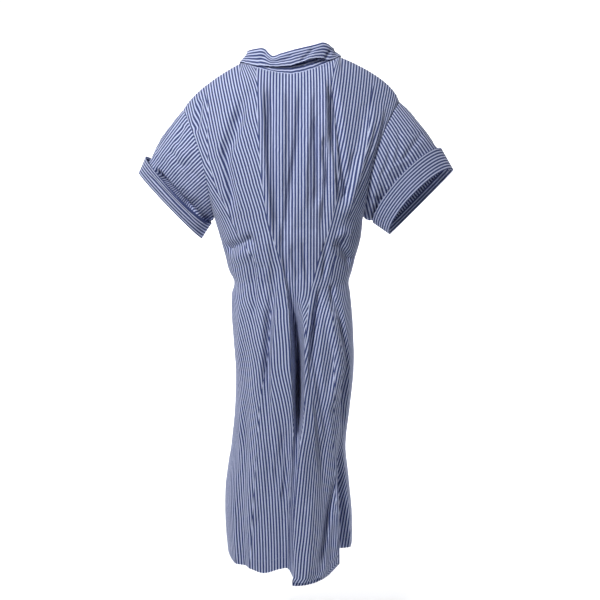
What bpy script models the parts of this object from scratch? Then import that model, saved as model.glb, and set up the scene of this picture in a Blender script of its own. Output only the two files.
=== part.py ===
"""A women's midi shirt dress in striped cotton poplin, filled out as if worn.

Every cloth piece is a thin closed wall: an outer grid of points, an inner grid one cloth
thickness inside it, and a rim between them. The neck, the hem and both sleeves are open.
The back and the two fronts are each one cloth panel from the shoulder to the hem. Each is
built as five walls, one below the other, so that every wall is a simple shape.

Frame: metres, +Z up. The back of the dress faces -Y and the wearer's right side is +X.
The origin is at the base of the neck, level with the tops of the shoulder seams.
"""

import math

import bmesh
import bpy
import numpy as np
from mathutils import Vector

# Cloth and the gap kept between pieces that are sewn together.
CLOTH = 0.0018
SEAM_GAP = 0.0003

# Levels of the body, and how square its level sections are (2 is an ellipse).
UNDERARM_Z = -0.336
WAIST_Z = -0.480
FULLNESS_Z = -0.564
HEM_Z = -1.090
SECTION_POWER = 2.25

# How the upper panels leave the shoulders: smaller roundings stand out sooner.
SHOULDER_ROUNDING = 0.65
NECK_ROUNDING = 0.35
NECK_ROUNDING_REACH = 0.60
CORNER_SOFTENING = 0.05
SOFTENING_PASSES = 2
CORNER_DEPTH = 0.16
EDGE_FADE = 5
BACK_BULGE = 0.010
BACK_BULGE_POWER = 0.6
FRONT_BULGE = 0.020

# The armholes' depth behind and before the shoulder seams, and the powers that shape them.
ARMHOLE_BACK = 0.060
ARMHOLE_FRONT = 0.046
ARMHOLE_DEPTH_POWER = 0.55
ARMHOLE_HOLLOW_POWER = 0.85

# The neckline, and the open part of the front below it.
BACK_NECK_DEPTH = 0.055
BACK_NECK_Z = -0.038
BACK_NECK_POWER = 1.6
FRONT_NECK = (0.046, 0.078, -0.078)
FRONT_NECK_BEND = (0.101, 0.062, -0.046)
OPEN_FRONT_Z = -0.175

# The button front: its right edge laps over its left one by this much past the middle.
LAP = 0.015
LAP_DEPTH = 0.0026
LAP_FADE = 0.030
FIRST_BUTTON_Z = -0.165
BUTTON_SPACING = 0.085
BUTTON_COUNT = 10
BUTTON_RADIUS = 0.0057
BUTTON_THICKNESS = 0.0026
BUTTON_LIFT = 0.0006

# The collar: a stand that leans in, most at the sides, and a fall folded over it.
STAND_LEAN = 0.003
SIDE_LEAN = 0.020
FRONT_STAND_HEIGHT = 0.024
FOLD_RISE = 0.006
FOLD_WIDTH = 0.0084
FALL_BEND = 0.4
FALL_ROUNDNESS = 0.002
COLLAR_FRONT_REACH = 0.020
COLLAR_POINT_REACH = 0.034
COLLAR_POINT_POWER = 6
COLLAR_FRONT_STAND_OFF = 0.006

# The sleeves and their turned-up cuffs.
SLEEVE_HALF_DEPTH = 0.047
SLEEVE_SWELL = 0.006
CUFF_STAND_OFF = 0.0065

# Grid sizes. Rows run down the cloth and columns run across it.
UPPER_ROWS = 14
WAIST_ROWS = 6
SKIRT_ROWS = 9
OPEN_FRONT_ROW = 6
PANEL_ROWS = {"shoulder": (0, 7), "chest": (7, 16), "waist": (16, 21), "hip": (21, 25), "skirt": (25, 29)}
ROW_CROWDING = 1.2
BACK_COLUMNS = 40
FRONT_COLUMNS = 18
NECK_COLUMNS = 16
FRONT_NECK_COLUMNS = 6
LAP_COLUMNS = 2
SLEEVE_ROWS = 4
CUFF_ROWS = 2
STAND_ROWS = 2
FALL_ROWS = 3
COLLAR_UNDER_ROWS = 5
BUTTON_SIDES = 20
FINE_COLUMNS = 1441
WELDS_PER_METRE = 99991

# Folds fade out over these widths: beside a seam, and below the neckline as a share of the panel.
SEAM_CALM = 0.022
NECK_CALM = 0.25

SHARP_ANGLE = math.radians(50)
POPLIN_ROUGHNESS = 0.85
RESIN_ROUGHNESS = 0.3
POPLIN_BLUE = (0.186, 0.223, 0.431)
RESIN_PEARL = (0.72, 0.74, 0.80)

UP = np.array([0, 0, 1.0])


def table(names, *rows):
    """A dictionary of columns, one array for each name."""
    return dict(zip(names.split(), np.array(rows, float).T))


# Level sections of the body: its side edges in X, and how far the back and the front stand out.
SECTIONS = table(
    "z left right back front",
    (-0.336, -0.164, 0.158, 0.096, 0.110),
    (-0.388, -0.149, 0.152, 0.092, 0.109),
    (-0.421, -0.140, 0.143, 0.086, 0.103),
    (-0.453, -0.132, 0.135, 0.080, 0.095),
    (-0.480, -0.121, 0.128, 0.076, 0.088),
    (-0.501, -0.126, 0.131, 0.080, 0.088),
    (-0.541, -0.127, 0.135, 0.092, 0.094),
    (-0.585, -0.125, 0.138, 0.103, 0.098),
    (-0.674, -0.119, 0.140, 0.113, 0.101),
    (-0.764, -0.122, 0.132, 0.116, 0.103),
    (-0.854, -0.131, 0.123, 0.118, 0.105),
    (-0.945, -0.143, 0.131, 0.122, 0.108),
    (-1.038, -0.144, 0.138, 0.128, 0.112),
    (-1.090, -0.140, 0.138, 0.130, 0.114),
)

# The hem's level across the back and across the fronts.
BACK_HEM = table(
    "x z",
    (-0.145, -1.066),
    (-0.128, -1.082),
    (-0.085, -1.086),
    (-0.058, -1.091),
    (-0.020, -1.080),
    (-0.004, -1.080),
    (0.016, -1.113),
    (0.036, -1.117),
    (0.080, -1.102),
    (0.105, -1.084),
    (0.125, -1.068),
    (0.140, -1.056),
)
FRONT_HEM = table(
    "x z",
    (-0.145, -1.066),
    (-0.100, -1.080),
    (0.000, -1.086),
    (0.100, -1.074),
    (0.140, -1.056),
)

# Folds run down the cloth. Each row gives a fold's place in X at one level, its depth
# (a trough is positive, a ridge negative) and how far its two sides reach along the cloth.
FOLD = "z x depth left right"
BACK_FOLDS = {
    "left shoulder pleat": table(
        FOLD,
        (-0.055, -0.044, 0.000, 0.010, 0.014),
        (-0.130, -0.042, 0.006, 0.010, 0.014),
        (-0.200, -0.045, 0.006, 0.010, 0.014),
        (-0.300, -0.040, 0.004, 0.010, 0.014),
        (-0.390, -0.035, 0.000, 0.010, 0.014),
    ),
    "left drag line": table(
        FOLD,
        (-0.075, -0.103, 0.000, 0.018, 0.018),
        (-0.130, -0.104, 0.008, 0.020, 0.018),
        (-0.165, -0.117, 0.008, 0.022, 0.020),
        (-0.210, -0.134, 0.007, 0.022, 0.022),
        (-0.290, -0.126, 0.006, 0.018, 0.022),
        (-0.350, -0.118, 0.000, 0.016, 0.022),
    ),
    "right shoulder pleat": table(
        FOLD,
        (-0.040, 0.086, 0.000, 0.016, 0.012),
        (-0.120, 0.088, 0.008, 0.018, 0.013),
        (-0.200, 0.087, 0.010, 0.018, 0.012),
        (-0.260, 0.080, 0.009, 0.015, 0.014),
        (-0.320, 0.073, 0.006, 0.012, 0.016),
        (-0.380, 0.066, 0.000, 0.012, 0.016),
    ),
    "right drag ridge": table(
        FOLD,
        (-0.090, 0.178, 0.000, 0.018, 0.016),
        (-0.150, 0.166, -0.006, 0.020, 0.016),
        (-0.220, 0.146, -0.008, 0.020, 0.018),
        (-0.290, 0.124, -0.006, 0.016, 0.020),
        (-0.360, 0.104, 0.000, 0.014, 0.020),
    ),
    "left waist tuck": table(
        FOLD,
        (-0.360, -0.082, 0.000, 0.014, 0.012),
        (-0.420, -0.080, 0.005, 0.014, 0.012),
        (-0.480, -0.078, 0.006, 0.012, 0.012),
        (-0.540, -0.078, 0.003, 0.014, 0.014),
        (-0.600, -0.080, 0.000, 0.014, 0.014),
    ),
    "centre valley": table(
        FOLD,
        (-0.450, 0.010, 0.000, 0.018, 0.022),
        (-0.500, 0.009, 0.010, 0.017, 0.020),
        (-0.560, 0.015, 0.034, 0.014, 0.016),
        (-0.620, 0.020, 0.052, 0.013, 0.013),
        (-0.720, 0.020, 0.060, 0.013, 0.012),
        (-0.800, 0.018, 0.054, 0.014, 0.011),
        (-0.870, 0.011, 0.040, 0.020, 0.010),
        (-0.940, 0.004, 0.028, 0.030, 0.013),
        (-1.100, 0.000, 0.026, 0.038, 0.014),
    ),
    "right lobe": table(
        FOLD,
        (-0.760, 0.036, 0.000, 0.018, 0.030),
        (-0.870, 0.034, -0.012, 0.024, 0.040),
        (-0.960, 0.034, -0.024, 0.030, 0.056),
        (-1.100, 0.036, -0.034, 0.034, 0.062),
    ),
    "right strip": table(
        FOLD,
        (-0.480, 0.064, 0.000, 0.007, 0.015),
        (-0.530, 0.058, 0.009, 0.007, 0.016),
        (-0.580, 0.049, 0.012, 0.007, 0.018),
        (-0.640, 0.045, 0.008, 0.008, 0.018),
        (-0.710, 0.046, 0.000, 0.010, 0.016),
    ),
    "right hip": table(
        FOLD,
        (-0.500, 0.098, 0.000, 0.010, 0.014),
        (-0.550, 0.106, 0.008, 0.011, 0.016),
        (-0.600, 0.114, 0.012, 0.013, 0.018),
        (-0.720, 0.117, 0.012, 0.015, 0.020),
        (-0.820, 0.110, 0.000, 0.015, 0.020),
    ),
    "left hip": table(
        FOLD,
        (-0.480, -0.047, 0.000, 0.014, 0.011),
        (-0.540, -0.047, 0.009, 0.014, 0.010),
        (-0.610, -0.051, 0.010, 0.015, 0.011),
        (-0.690, -0.048, 0.008, 0.016, 0.012),
        (-0.800, -0.046, 0.000, 0.016, 0.012),
    ),
    "low right": table(
        FOLD,
        (-0.690, 0.052, 0.000, 0.012, 0.014),
        (-0.770, 0.063, 0.008, 0.012, 0.016),
        (-0.830, 0.068, 0.006, 0.012, 0.018),
        (-0.900, 0.070, 0.000, 0.012, 0.018),
    ),
    "left of centre": table(
        FOLD,
        (-0.740, -0.018, 0.000, 0.014, 0.010),
        (-0.820, -0.018, 0.007, 0.014, 0.010),
        (-0.880, -0.024, 0.007, 0.016, 0.012),
        (-0.950, -0.040, 0.000, 0.018, 0.014),
    ),
    "right lobe crease": table(
        FOLD,
        (-0.890, 0.098, 0.000, 0.014, 0.012),
        (-0.950, 0.090, 0.007, 0.016, 0.014),
        (-1.000, 0.078, 0.008, 0.016, 0.016),
        (-1.100, 0.052, 0.005, 0.016, 0.018),
    ),
    "right side notch": table(
        FOLD,
        (-0.800, 0.106, 0.000, 0.018, 0.016),
        (-0.880, 0.113, 0.014, 0.022, 0.018),
        (-0.950, 0.120, 0.030, 0.028, 0.020),
        (-1.100, 0.127, 0.046, 0.040, 0.024),
    ),
    "left low": table(
        FOLD,
        (-0.700, -0.098, 0.000, 0.018, 0.018),
        (-0.820, -0.100, 0.007, 0.020, 0.020),
        (-0.950, -0.106, 0.009, 0.022, 0.022),
        (-1.100, -0.104, 0.010, 0.024, 0.024),
    ),
}
FRONT_FOLDS = {
    "right bust tuck": table(
        FOLD,
        (-0.270, 0.078, 0.000, 0.014, 0.016),
        (-0.370, 0.070, 0.006, 0.014, 0.016),
        (-0.440, 0.064, 0.007, 0.013, 0.014),
        (-0.490, 0.062, 0.003, 0.012, 0.012),
        (-0.530, 0.062, 0.000, 0.012, 0.012),
    ),
    "left bust tuck": table(
        FOLD,
        (-0.250, -0.080, 0.000, 0.016, 0.014),
        (-0.350, -0.071, 0.006, 0.016, 0.014),
        (-0.440, -0.062, 0.008, 0.014, 0.013),
        (-0.500, -0.060, 0.000, 0.012, 0.012),
    ),
    "right front valley": table(
        FOLD,
        (-0.480, 0.052, 0.000, 0.014, 0.014),
        (-0.560, 0.056, 0.012, 0.015, 0.016),
        (-0.700, 0.064, 0.020, 0.017, 0.018),
        (-0.900, 0.068, 0.020, 0.020, 0.022),
        (-1.100, 0.070, 0.024, 0.022, 0.024),
    ),
    "right front hip": table(
        FOLD,
        (-0.500, 0.098, 0.000, 0.014, 0.014),
        (-0.600, 0.106, 0.010, 0.014, 0.016),
        (-0.780, 0.108, 0.012, 0.016, 0.018),
        (-1.000, 0.110, 0.000, 0.016, 0.018),
    ),
    "left front valley": table(
        FOLD,
        (-0.490, -0.058, 0.000, 0.014, 0.014),
        (-0.580, -0.060, 0.010, 0.016, 0.015),
        (-0.720, -0.062, 0.018, 0.018, 0.017),
        (-0.900, -0.066, 0.022, 0.022, 0.020),
        (-1.100, -0.070, 0.026, 0.026, 0.022),
    ),
    "left front hip": table(
        FOLD,
        (-0.520, -0.096, 0.000, 0.014, 0.014),
        (-0.640, -0.098, 0.009, 0.016, 0.014),
        (-0.840, -0.106, 0.010, 0.018, 0.016),
        (-1.040, -0.112, 0.000, 0.018, 0.016),
    ),
}

# Each side's own points and sizes. The shoulder seam runs from the neck by its bend to the
# shoulder. The armhole hollows towards the neck. The neckline rises to the neck from behind.
# A cuff's outer and inner corners end its free upper edge and its folded lower edge.
SIDES = {
    "left": {
        "sign": -1,
        "neck": (-0.103, 0.0, -0.012),
        "bend": (-0.200, 0.0, -0.062),
        "shoulder": (-0.228, 0.0, -0.110),
        "underarm": (-0.164, 0.0, UNDERARM_Z),
        "hollow": 0.013,
        "neck_rise": 0.026,
        "cuff_top_outer": (-0.300, 0.018, -0.214),
        "cuff_top_inner": (-0.178, 0.014, -0.346),
        "cuff_end_outer": (-0.326, 0.022, -0.243),
        "cuff_end_inner": (-0.193, 0.022, -0.384),
        "back_rise": 0.000,
        "front_drop": 0.000,
        "cuff_gape": 0.004,
    },
    "right": {
        "sign": 1,
        "neck": (0.106, 0.0, 0.001),
        "bend": (0.219, 0.0, -0.044),
        "shoulder": (0.234, 0.0, -0.092),
        "underarm": (0.158, 0.0, UNDERARM_Z),
        "hollow": 0.018,
        "neck_rise": 0.039,
        "cuff_top_outer": (0.319, 0.0, -0.198),
        "cuff_top_inner": (0.184, 0.0, -0.344),
        "cuff_end_outer": (0.350, 0.0, -0.238),
        "cuff_end_inner": (0.216, 0.0, -0.374),
        "back_rise": 0.030,
        "front_drop": 0.006,
        "cuff_gape": 0.000,
    },
}

# Across the back of the neck: the level of the collar's fold line, how far the fall's edge
# reaches below the neckline, and how far it stands off the cloth there.
COLLAR = table(
    "x fold reach stand_off",
    (-0.110, 0.006, 0.001, 0.005),
    (-0.084, 0.012, 0.000, 0.005),
    (-0.070, 0.014, -0.001, 0.005),
    (-0.050, 0.013, -0.004, 0.006),
    (-0.036, -0.001, -0.006, 0.006),
    (-0.018, 0.003, -0.008, 0.008),
    (0.003, 0.009, -0.010, 0.010),
    (0.055, 0.023, -0.011, 0.012),
    (0.067, 0.027, -0.007, 0.010),
    (0.078, 0.024, -0.002, 0.007),
    (0.086, 0.018, 0.001, 0.005),
    (0.110, 0.010, 0.001, 0.005),
)

# The fall's rows from the stand up to the fold, as shares of the fold's width and rise.
FOLD_PROFILE = table(
    "out up",
    (0.00, 0.0),
    (0.02, 0.6),
    (0.45, 1.1),
    (1.00, 0.5),
)


def smooth(rows, name, at, along="z"):
    """A cubic through a table's rows, each row's slope taken from its neighbours."""
    place, value = rows[along], rows[name]
    if place[0] > place[-1]:
        place, value = place[::-1], value[::-1]
    slope = np.gradient(value, place)
    index = np.clip(np.searchsorted(place, at) - 1, 0, len(place) - 2)
    step = place[index + 1] - place[index]
    t = np.clip((at - place[index]) / step, 0, 1)
    start = (1 + 2 * t) * (1 - t) ** 2 * value[index] + t * (1 - t) ** 2 * step * slope[index]
    end = t * t * (3 - 2 * t) * value[index + 1] - t * t * (1 - t) * step * slope[index + 1]
    return start + end


def ease(t):
    """From 0 to 1 with level ends."""
    t = np.clip(t, 0, 1)
    return t * t * (3 - 2 * t)


def unit(vectors):
    length = np.linalg.norm(vectors, axis=-1, keepdims=True)
    return vectors / np.maximum(length, 1e-12)


def bezier(start, bend, end, t):
    start, bend, end = (np.array(point) for point in (start, bend, end))
    t = t[..., None]
    return (1 - t) ** 2 * start + 2 * t * (1 - t) * bend + t * t * end


def section(z, angle, depth_name):
    """A point of the level section at z. The angle is 0 at the middle and a right angle at the side."""
    left, right = smooth(SECTIONS, "left", z), smooth(SECTIONS, "right", z)
    depth = smooth(SECTIONS, depth_name, z) * (-1 if depth_name == "back" else 1)
    sine, cosine = np.sin(angle), np.cos(angle)
    power = 2 / SECTION_POWER
    x = (left + right) / 2 + (right - left) / 2 * np.sign(sine) * np.abs(sine) ** power
    return np.stack([x, depth * np.abs(cosine) ** power, z + 0 * x], axis=-1)


def panel(top, bottom, first, last, rounding, t, u):
    """The surface between four edges: top and bottom across u, first and last down t.

    It stands out from its top edge faster than it drops, the more so the smaller its rounding,
    and the shape of its side edges fades out soon inside them.
    """
    t = t[:, None]
    out = np.sin(t * np.pi / 2) ** rounding
    drop = np.stack([t + 0 * out, out, t + 0 * out], axis=-1)
    soft = ease(t / CORNER_DEPTH)[..., None]
    across = (1 - drop) * ((1 - soft) * top + soft * softened(top)) + drop * bottom
    u = u[:, None]
    pull_first = (1 - u) ** EDGE_FADE * (first - across[:, 0])[:, None]
    pull_last = u**EDGE_FADE * (last - across[:, -1])[:, None]
    return across + pull_first + pull_last


def softened(line):
    """A line with its corners rounded off, its two ends left where they are."""
    half = int(CORNER_SOFTENING * len(line))
    kernel = np.ones(2 * half + 1) / (2 * half + 1)
    for _ in range(SOFTENING_PASSES):
        before = 2 * line[0] - line[half:0:-1]
        after = 2 * line[-1] - line[-2 : -half - 2 : -1]
        padded = np.concatenate([before, line, after])
        line = np.stack([np.convolve(padded[:, k], kernel, "valid") for k in range(3)], axis=-1)
    return line


def neck_rounding(out):
    """A panel's rounding at a distance from the neck's corner; the shoulder is roundest there."""
    near = np.exp(-((out / NECK_ROUNDING_REACH) ** 2))
    return SHOULDER_ROUNDING + (NECK_ROUNDING - SHOULDER_ROUNDING) * near


def armhole(side, depth, t):
    """The armhole's edge from the shoulder, t = 0, to the underarm, t = 1."""
    start, end = np.array(side["shoulder"]), np.array(side["underarm"])
    curve = start + (end - start) * t[:, None]
    curve[:, 0] -= side["sign"] * side["hollow"] * np.sin(np.pi * t**ARMHOLE_HOLLOW_POWER)
    curve[:, 1] += depth * np.sin(np.pi * t) ** ARMHOLE_DEPTH_POWER
    return curve


def shoulder(side, t):
    """The shoulder seam from the neck, t = 0, to the armhole, t = 1."""
    return bezier(side["neck"], side["bend"], side["shoulder"], t)


def back_neck(v):
    """The back neckline, from the left shoulder seam, v = -1, to the right one, v = 1."""
    left, right = SIDES["left"]["neck"][0], SIDES["right"]["neck"][0]
    sine = np.sin(v * np.pi / 2)
    rise = np.where(v < 0, SIDES["left"]["neck_rise"], SIDES["right"]["neck_rise"])
    x = (left + right) / 2 + (right - left) / 2 * sine
    z = BACK_NECK_Z + rise * np.abs(sine) ** BACK_NECK_POWER
    return np.stack([x, -BACK_NECK_DEPTH * np.cos(v * np.pi / 2), z], axis=-1)


def front_neck(side, t):
    """The front neckline from the shoulder seam, t = 0, to the end of the collar stand, t = 1."""
    mirror = np.array([side["sign"], 1, 1])
    return bezier(side["neck"], mirror * FRONT_NECK_BEND, mirror * FRONT_NECK, t)


def back_base(rows_t, rows_z, q):
    """The back panel without folds; q runs from -1 at the left seam to 1 at the right one."""
    neck_share = NECK_COLUMNS / BACK_COLUMNS
    out = (np.abs(q) - neck_share) / (1 - neck_share)
    left = shoulder(SIDES["left"], np.clip(out, 0, 1))
    right = shoulder(SIDES["right"], np.clip(out, 0, 1))
    neck = back_neck(np.clip(q / neck_share, -1, 1))
    top = np.where((out > 0)[:, None], np.where((q < 0)[:, None], left, right), neck)
    bottom = section(np.full_like(q, UNDERARM_Z), q * np.pi / 2, "back")
    first = armhole(SIDES["left"], -ARMHOLE_BACK, rows_t)
    last = armhole(SIDES["right"], -ARMHOLE_BACK, rows_t)
    upper = panel(top, bottom, first, last, neck_rounding(out), rows_t, (q + 1) / 2)
    bulge = np.sin(np.pi * rows_t**BACK_BULGE_POWER)[:, None]
    upper[..., 1] -= BACK_BULGE * bulge * np.cos(q * np.pi / 2)
    z, angle = np.meshgrid(rows_z, q * np.pi / 2, indexing="ij")
    lower = section(z, angle, "back")
    return np.concatenate([upper, hemmed(lower, BACK_HEM)])


def hemmed(lower, hem):
    """Level rows drawn down or up so that the last one follows the hem."""
    share = ease((WAIST_Z - lower[..., 2]) / (WAIST_Z - HEM_Z))
    lower[..., 2] += share * (smooth(hem, "z", lower[..., 0], "x") - HEM_Z)
    return lower


def front_base(side, rows_t, rows_z, q):
    """One front without folds; q runs from 0 at its front edge to 1 at the side seam."""
    neck_share = FRONT_NECK_COLUMNS / FRONT_COLUMNS
    out = (q - neck_share) / (1 - neck_share)
    seam = shoulder(side, np.clip(out, 0, 1))
    neck = front_neck(side, np.clip(1 - q / neck_share, 0, 1))
    top = np.where((out > 0)[:, None], seam, neck)
    lower = front_section(side, rows_z, q)
    bottom = front_section(side, np.array([UNDERARM_Z]), q)[0]
    rounding = neck_rounding(out)
    first = front_edge(top[0], bottom[0], rounding[0], rows_t)
    last = armhole(side, ARMHOLE_FRONT, rows_t)
    upper = panel(top, bottom, first, last, rounding, rows_t, q)
    half_width = abs(side["underarm"][0])
    clear = np.clip((np.abs(upper[..., 0]) - LAP) / (half_width - LAP), 0, 1)
    upper[..., 1] += FRONT_BULGE * np.sin(np.pi * rows_t)[:, None] * np.sin(np.pi * clear) ** 2
    return np.concatenate([upper, hemmed(lower, FRONT_HEM)])


def front_edge(corner, end, rounding, rows_t):
    """A front's free edge: slanting in from the neck, then straight down to the underarm's level."""
    open_t = rows_t[OPEN_FRONT_ROW]
    x = np.interp(rows_t, (0, open_t), (corner[0], end[0]))
    y = corner[1] + (end[1] - corner[1]) * np.sin(rows_t * np.pi / 2) ** rounding
    z = np.interp(rows_t, (0, open_t, 1), (corner[2], OPEN_FRONT_Z, end[2]))
    return np.stack([x, y, z], axis=-1)


def front_section(side, rows_z, q):
    """The level sections of one front, from its lap past the middle to the side seam."""
    z = np.repeat(rows_z[:, None], len(q), axis=1)
    left, right = smooth(SECTIONS, "left", z), smooth(SECTIONS, "right", z)
    reach = (-side["sign"] * LAP - (left + right) / 2) / ((right - left) / 2)
    start = np.sign(reach) * np.arcsin(np.abs(reach) ** (SECTION_POWER / 2))
    angle = start + (side["sign"] * np.pi / 2 - start) * q[None]
    return section(z, angle, "front")


def face_normals(points, closed=False):
    """Each grid point's direction out of the cloth."""
    if closed:
        wrapped = np.concatenate([points[:, -1:], points, points[:, :1]], axis=1)
        across = np.gradient(wrapped, axis=1)[:, 1:-1]
    else:
        across = np.gradient(points, axis=1)
    return unit(np.cross(np.gradient(points, axis=0), across))


def folded(base, folds, rows_t, calm_edges, facing=1):
    """The base surface pushed in by every fold, along its normal times facing.

    A fold's push across the cloth is (1 - s^2)^2, where s is the distance from its middle as a
    share of its reach. Folds fade out below the neckline and beside the seams, beginning at
    each side edge's own distance from it.
    """
    steps = np.linalg.norm(np.diff(base, axis=1), axis=2)
    arc = np.concatenate([np.zeros((len(base), 1)), np.cumsum(steps, axis=1)], axis=1)
    depth = np.zeros(arc.shape)
    z = base[..., 2]
    for rows in folds.values():
        place = smooth(rows, "x", z)
        for i, line in enumerate(base):
            centre = np.interp(place[i], *ordered(line[:, 0], arc[i]))
            away = (arc[i] - centre) * np.sign(line[-1, 0] - line[0, 0])
            reach = np.where(away < 0, smooth(rows, "left", z[i]), smooth(rows, "right", z[i]))
            inside = (z[i] < rows["z"].max()) & (z[i] > rows["z"].min())
            push = np.clip(1 - (away / reach) ** 2, 0, 1) ** 2
            depth[i] += np.where(inside, smooth(rows, "depth", z[i]) * push, 0)
    first, last = calm_edges
    depth *= ease((arc - first) / SEAM_CALM) * ease((arc[:, -1:] - arc - last) / SEAM_CALM)
    depth[: len(rows_t)] *= ease(rows_t / NECK_CALM)[:, None]
    return base - facing * face_normals(base) * depth[..., None]


def ordered(x, values):
    order = np.argsort(x)
    return x[order], values[order]


def resampled(points, rows_t, lengths_of):
    """The rows at fewer columns: as designed along the top, and by length from the underarm down.

    A row's lengths along the cloth come from lengths_of(row number, its points, their lengths).
    """
    fine = np.linspace(0, 1, points.shape[1])
    result = []
    for i, line in enumerate(points):
        arc = np.concatenate([[0], np.cumsum(np.linalg.norm(np.diff(line, axis=0), axis=1))])
        lengths = lengths_of(i, line, arc)
        share = ease(rows_t[i]) if i < len(rows_t) else 1.0
        designed = np.linspace(0, 1, len(lengths))
        place = (1 - share) * designed + share * np.interp(lengths, arc, fine)
        result.append(np.stack([np.interp(place, fine, line[:, k]) for k in range(3)], axis=-1))
    return np.array(result)


def body_levels():
    """Row places: t down the upper panels, then z from below the underarm to the hem."""
    rows_t = np.linspace(0, 1, UPPER_ROWS + 1) ** ROW_CROWDING
    waist = np.linspace(UNDERARM_Z, FULLNESS_Z, WAIST_ROWS + 1)[1:]
    skirt = np.linspace(FULLNESS_Z, HEM_Z, SKIRT_ROWS + 1)[1:]
    return rows_t, np.concatenate([waist, skirt])


def back_grid():
    """The back panel; below the underarm its middle column keeps to the centre valley."""
    rows_t, rows_z = body_levels()
    base = back_base(rows_t, rows_z, np.linspace(-1, 1, FINE_COLUMNS))
    valley = smooth(BACK_FOLDS["centre valley"], "x", base[:, FINE_COLUMNS // 2, 2])
    even = np.linspace(0, 1, BACK_COLUMNS + 1)

    def lengths(i, line, arc):
        middle = np.interp(valley[i], line[:, 0], arc)
        return np.interp(even, (0, 0.5, 1), (0, middle, arc[-1]))

    return resampled(folded(base, BACK_FOLDS, rows_t, (0, 0)), rows_t, lengths)


def front_grid(name):
    """One front: the right one from its side seam to its edge, the left one from its edge on."""
    side = SIDES[name]
    rows_t, rows_z = body_levels()
    base = front_base(side, rows_t, rows_z, np.linspace(0, 1, FINE_COLUMNS))
    lapped = 2 * LAP
    shape = folded(base, FRONT_FOLDS, rows_t, (lapped, 0), -side["sign"])
    stations = (0, LAP_COLUMNS / FRONT_COLUMNS, 1)
    even = np.linspace(0, 1, FRONT_COLUMNS + 1)

    def lengths(i, line, arc):
        return np.interp(even, stations, (0, lapped, arc[-1]))

    grid = resampled(shape, rows_t, lengths)
    if name == "right":
        return grid[:, ::-1]
    under = ease((grid[..., 0] + 2 * LAP_FADE) / LAP_FADE)
    below = ease((OPEN_FRONT_Z + 2 * LAP_FADE - grid[..., 2]) / LAP_FADE)
    grid[..., 1] -= LAP_DEPTH * under * below
    return grid


def cuff_loop(side, which, angles):
    """A sleeve's ring at its cuff: an ellipse whose long axis joins the outer and inner corners."""
    outer, inner = np.array(side[f"{which}_outer"]), np.array(side[f"{which}_inner"])
    centre = (outer + inner) / 2
    hang = unit(np.array(side["cuff_end_outer"]) - side["cuff_top_outer"])
    shares = np.stack([np.cos(angles), np.sin(angles)], axis=-1)
    back = np.array([0, -SLEEVE_HALF_DEPTH, 0]) - hang * side["back_rise"]
    front = np.array([0, SLEEVE_HALF_DEPTH, 0]) + hang * side["front_drop"]
    across = np.where((shares[:, 1] > 0)[:, None], back, front)
    return centre + shares[:, :1] * (outer - centre) + np.abs(shares[:, 1:]) * across


def sleeve_grid(name, back, front):
    """Rings from the armhole, down to the cuff's upper edge and on to the sleeve's end."""
    side = SIDES[name]
    if name == "left":
        back_edge, front_edge = back[: UPPER_ROWS + 1, 0], front[: UPPER_ROWS + 1, -1]
        first = np.concatenate([back_edge, front_edge[-2:0:-1]])
        angles = np.arange(2 * UPPER_ROWS) * np.pi / UPPER_ROWS
    else:
        back_edge, front_edge = back[: UPPER_ROWS + 1, -1], front[: UPPER_ROWS + 1, 0]
        first = np.concatenate([front_edge, back_edge[-2:0:-1]])
        angles = -np.arange(2 * UPPER_ROWS) * np.pi / UPPER_ROWS
    middle, last = cuff_loop(side, "cuff_top", angles), cuff_loop(side, "cuff_end", angles)
    upper = np.linspace(0, 1, SLEEVE_ROWS + 1)[:, None, None]
    lower = np.linspace(0, 1, CUFF_ROWS + 1)[1:, None, None]
    outward = face_normals(np.stack([first, middle]), True)[:1]
    swollen = first + (middle - first) * upper + outward * SLEEVE_SWELL * np.sin(np.pi * upper)
    return np.concatenate([swollen, middle + (last - middle) * lower])


def cuff_grid(side, sleeve):
    """The turned-up cuff: the sleeve's last rings, moved out, and furthest at its free upper edge."""
    rings = sleeve[SLEEVE_ROWS:]
    normals = face_normals(sleeve, True)[SLEEVE_ROWS:]
    height = np.linspace(1, 0, CUFF_ROWS + 1)[:, None, None]
    back_share = np.clip(-normals[..., 1:2], 0, 1)
    lift = CLOTH + SEAM_GAP + height * (CUFF_STAND_OFF + side["cuff_gape"] * back_share)
    return rings + normals * lift


def neck_line(row, back, right, left):
    """One row of the three body panels below the neckline, from the left front to the right front."""
    first = (BACK_COLUMNS - NECK_COLUMNS) // 2
    behind = back[row, first : first + NECK_COLUMNS]
    return np.concatenate([left[row, :FRONT_NECK_COLUMNS], behind, right[row, -FRONT_NECK_COLUMNS - 1 :]])


def outward_at_neck(edge):
    """Level directions out of the neck along its edge."""
    run = np.gradient(edge, axis=0) * np.array([1, 1, 0])
    return unit(np.cross(run, UP))


def in_front(points):
    """From 0 behind the shoulder seams to 1 at the front of the neck."""
    return ease(points[..., 1] / FRONT_NECK[1])


def stand_grid(edge):
    """The collar stand: rows from its upper edge down to the neckline, leaning in most at the sides."""
    outward = outward_at_neck(edge)
    top = edge - outward * (STAND_LEAN + SIDE_LEAN * outward[:, :1] ** 2)
    fold = np.interp(top[:, 0], COLLAR["x"], COLLAR["fold"])
    share = in_front(edge)
    top[:, 2] = (1 - share) * (fold - FOLD_RISE) + share * (edge[:, 2] + FRONT_STAND_HEIGHT)
    edge = edge + UP * SEAM_GAP / 2
    return edge + np.linspace(1, 0, STAND_ROWS + 1)[:, None, None] * (top - edge)


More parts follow.
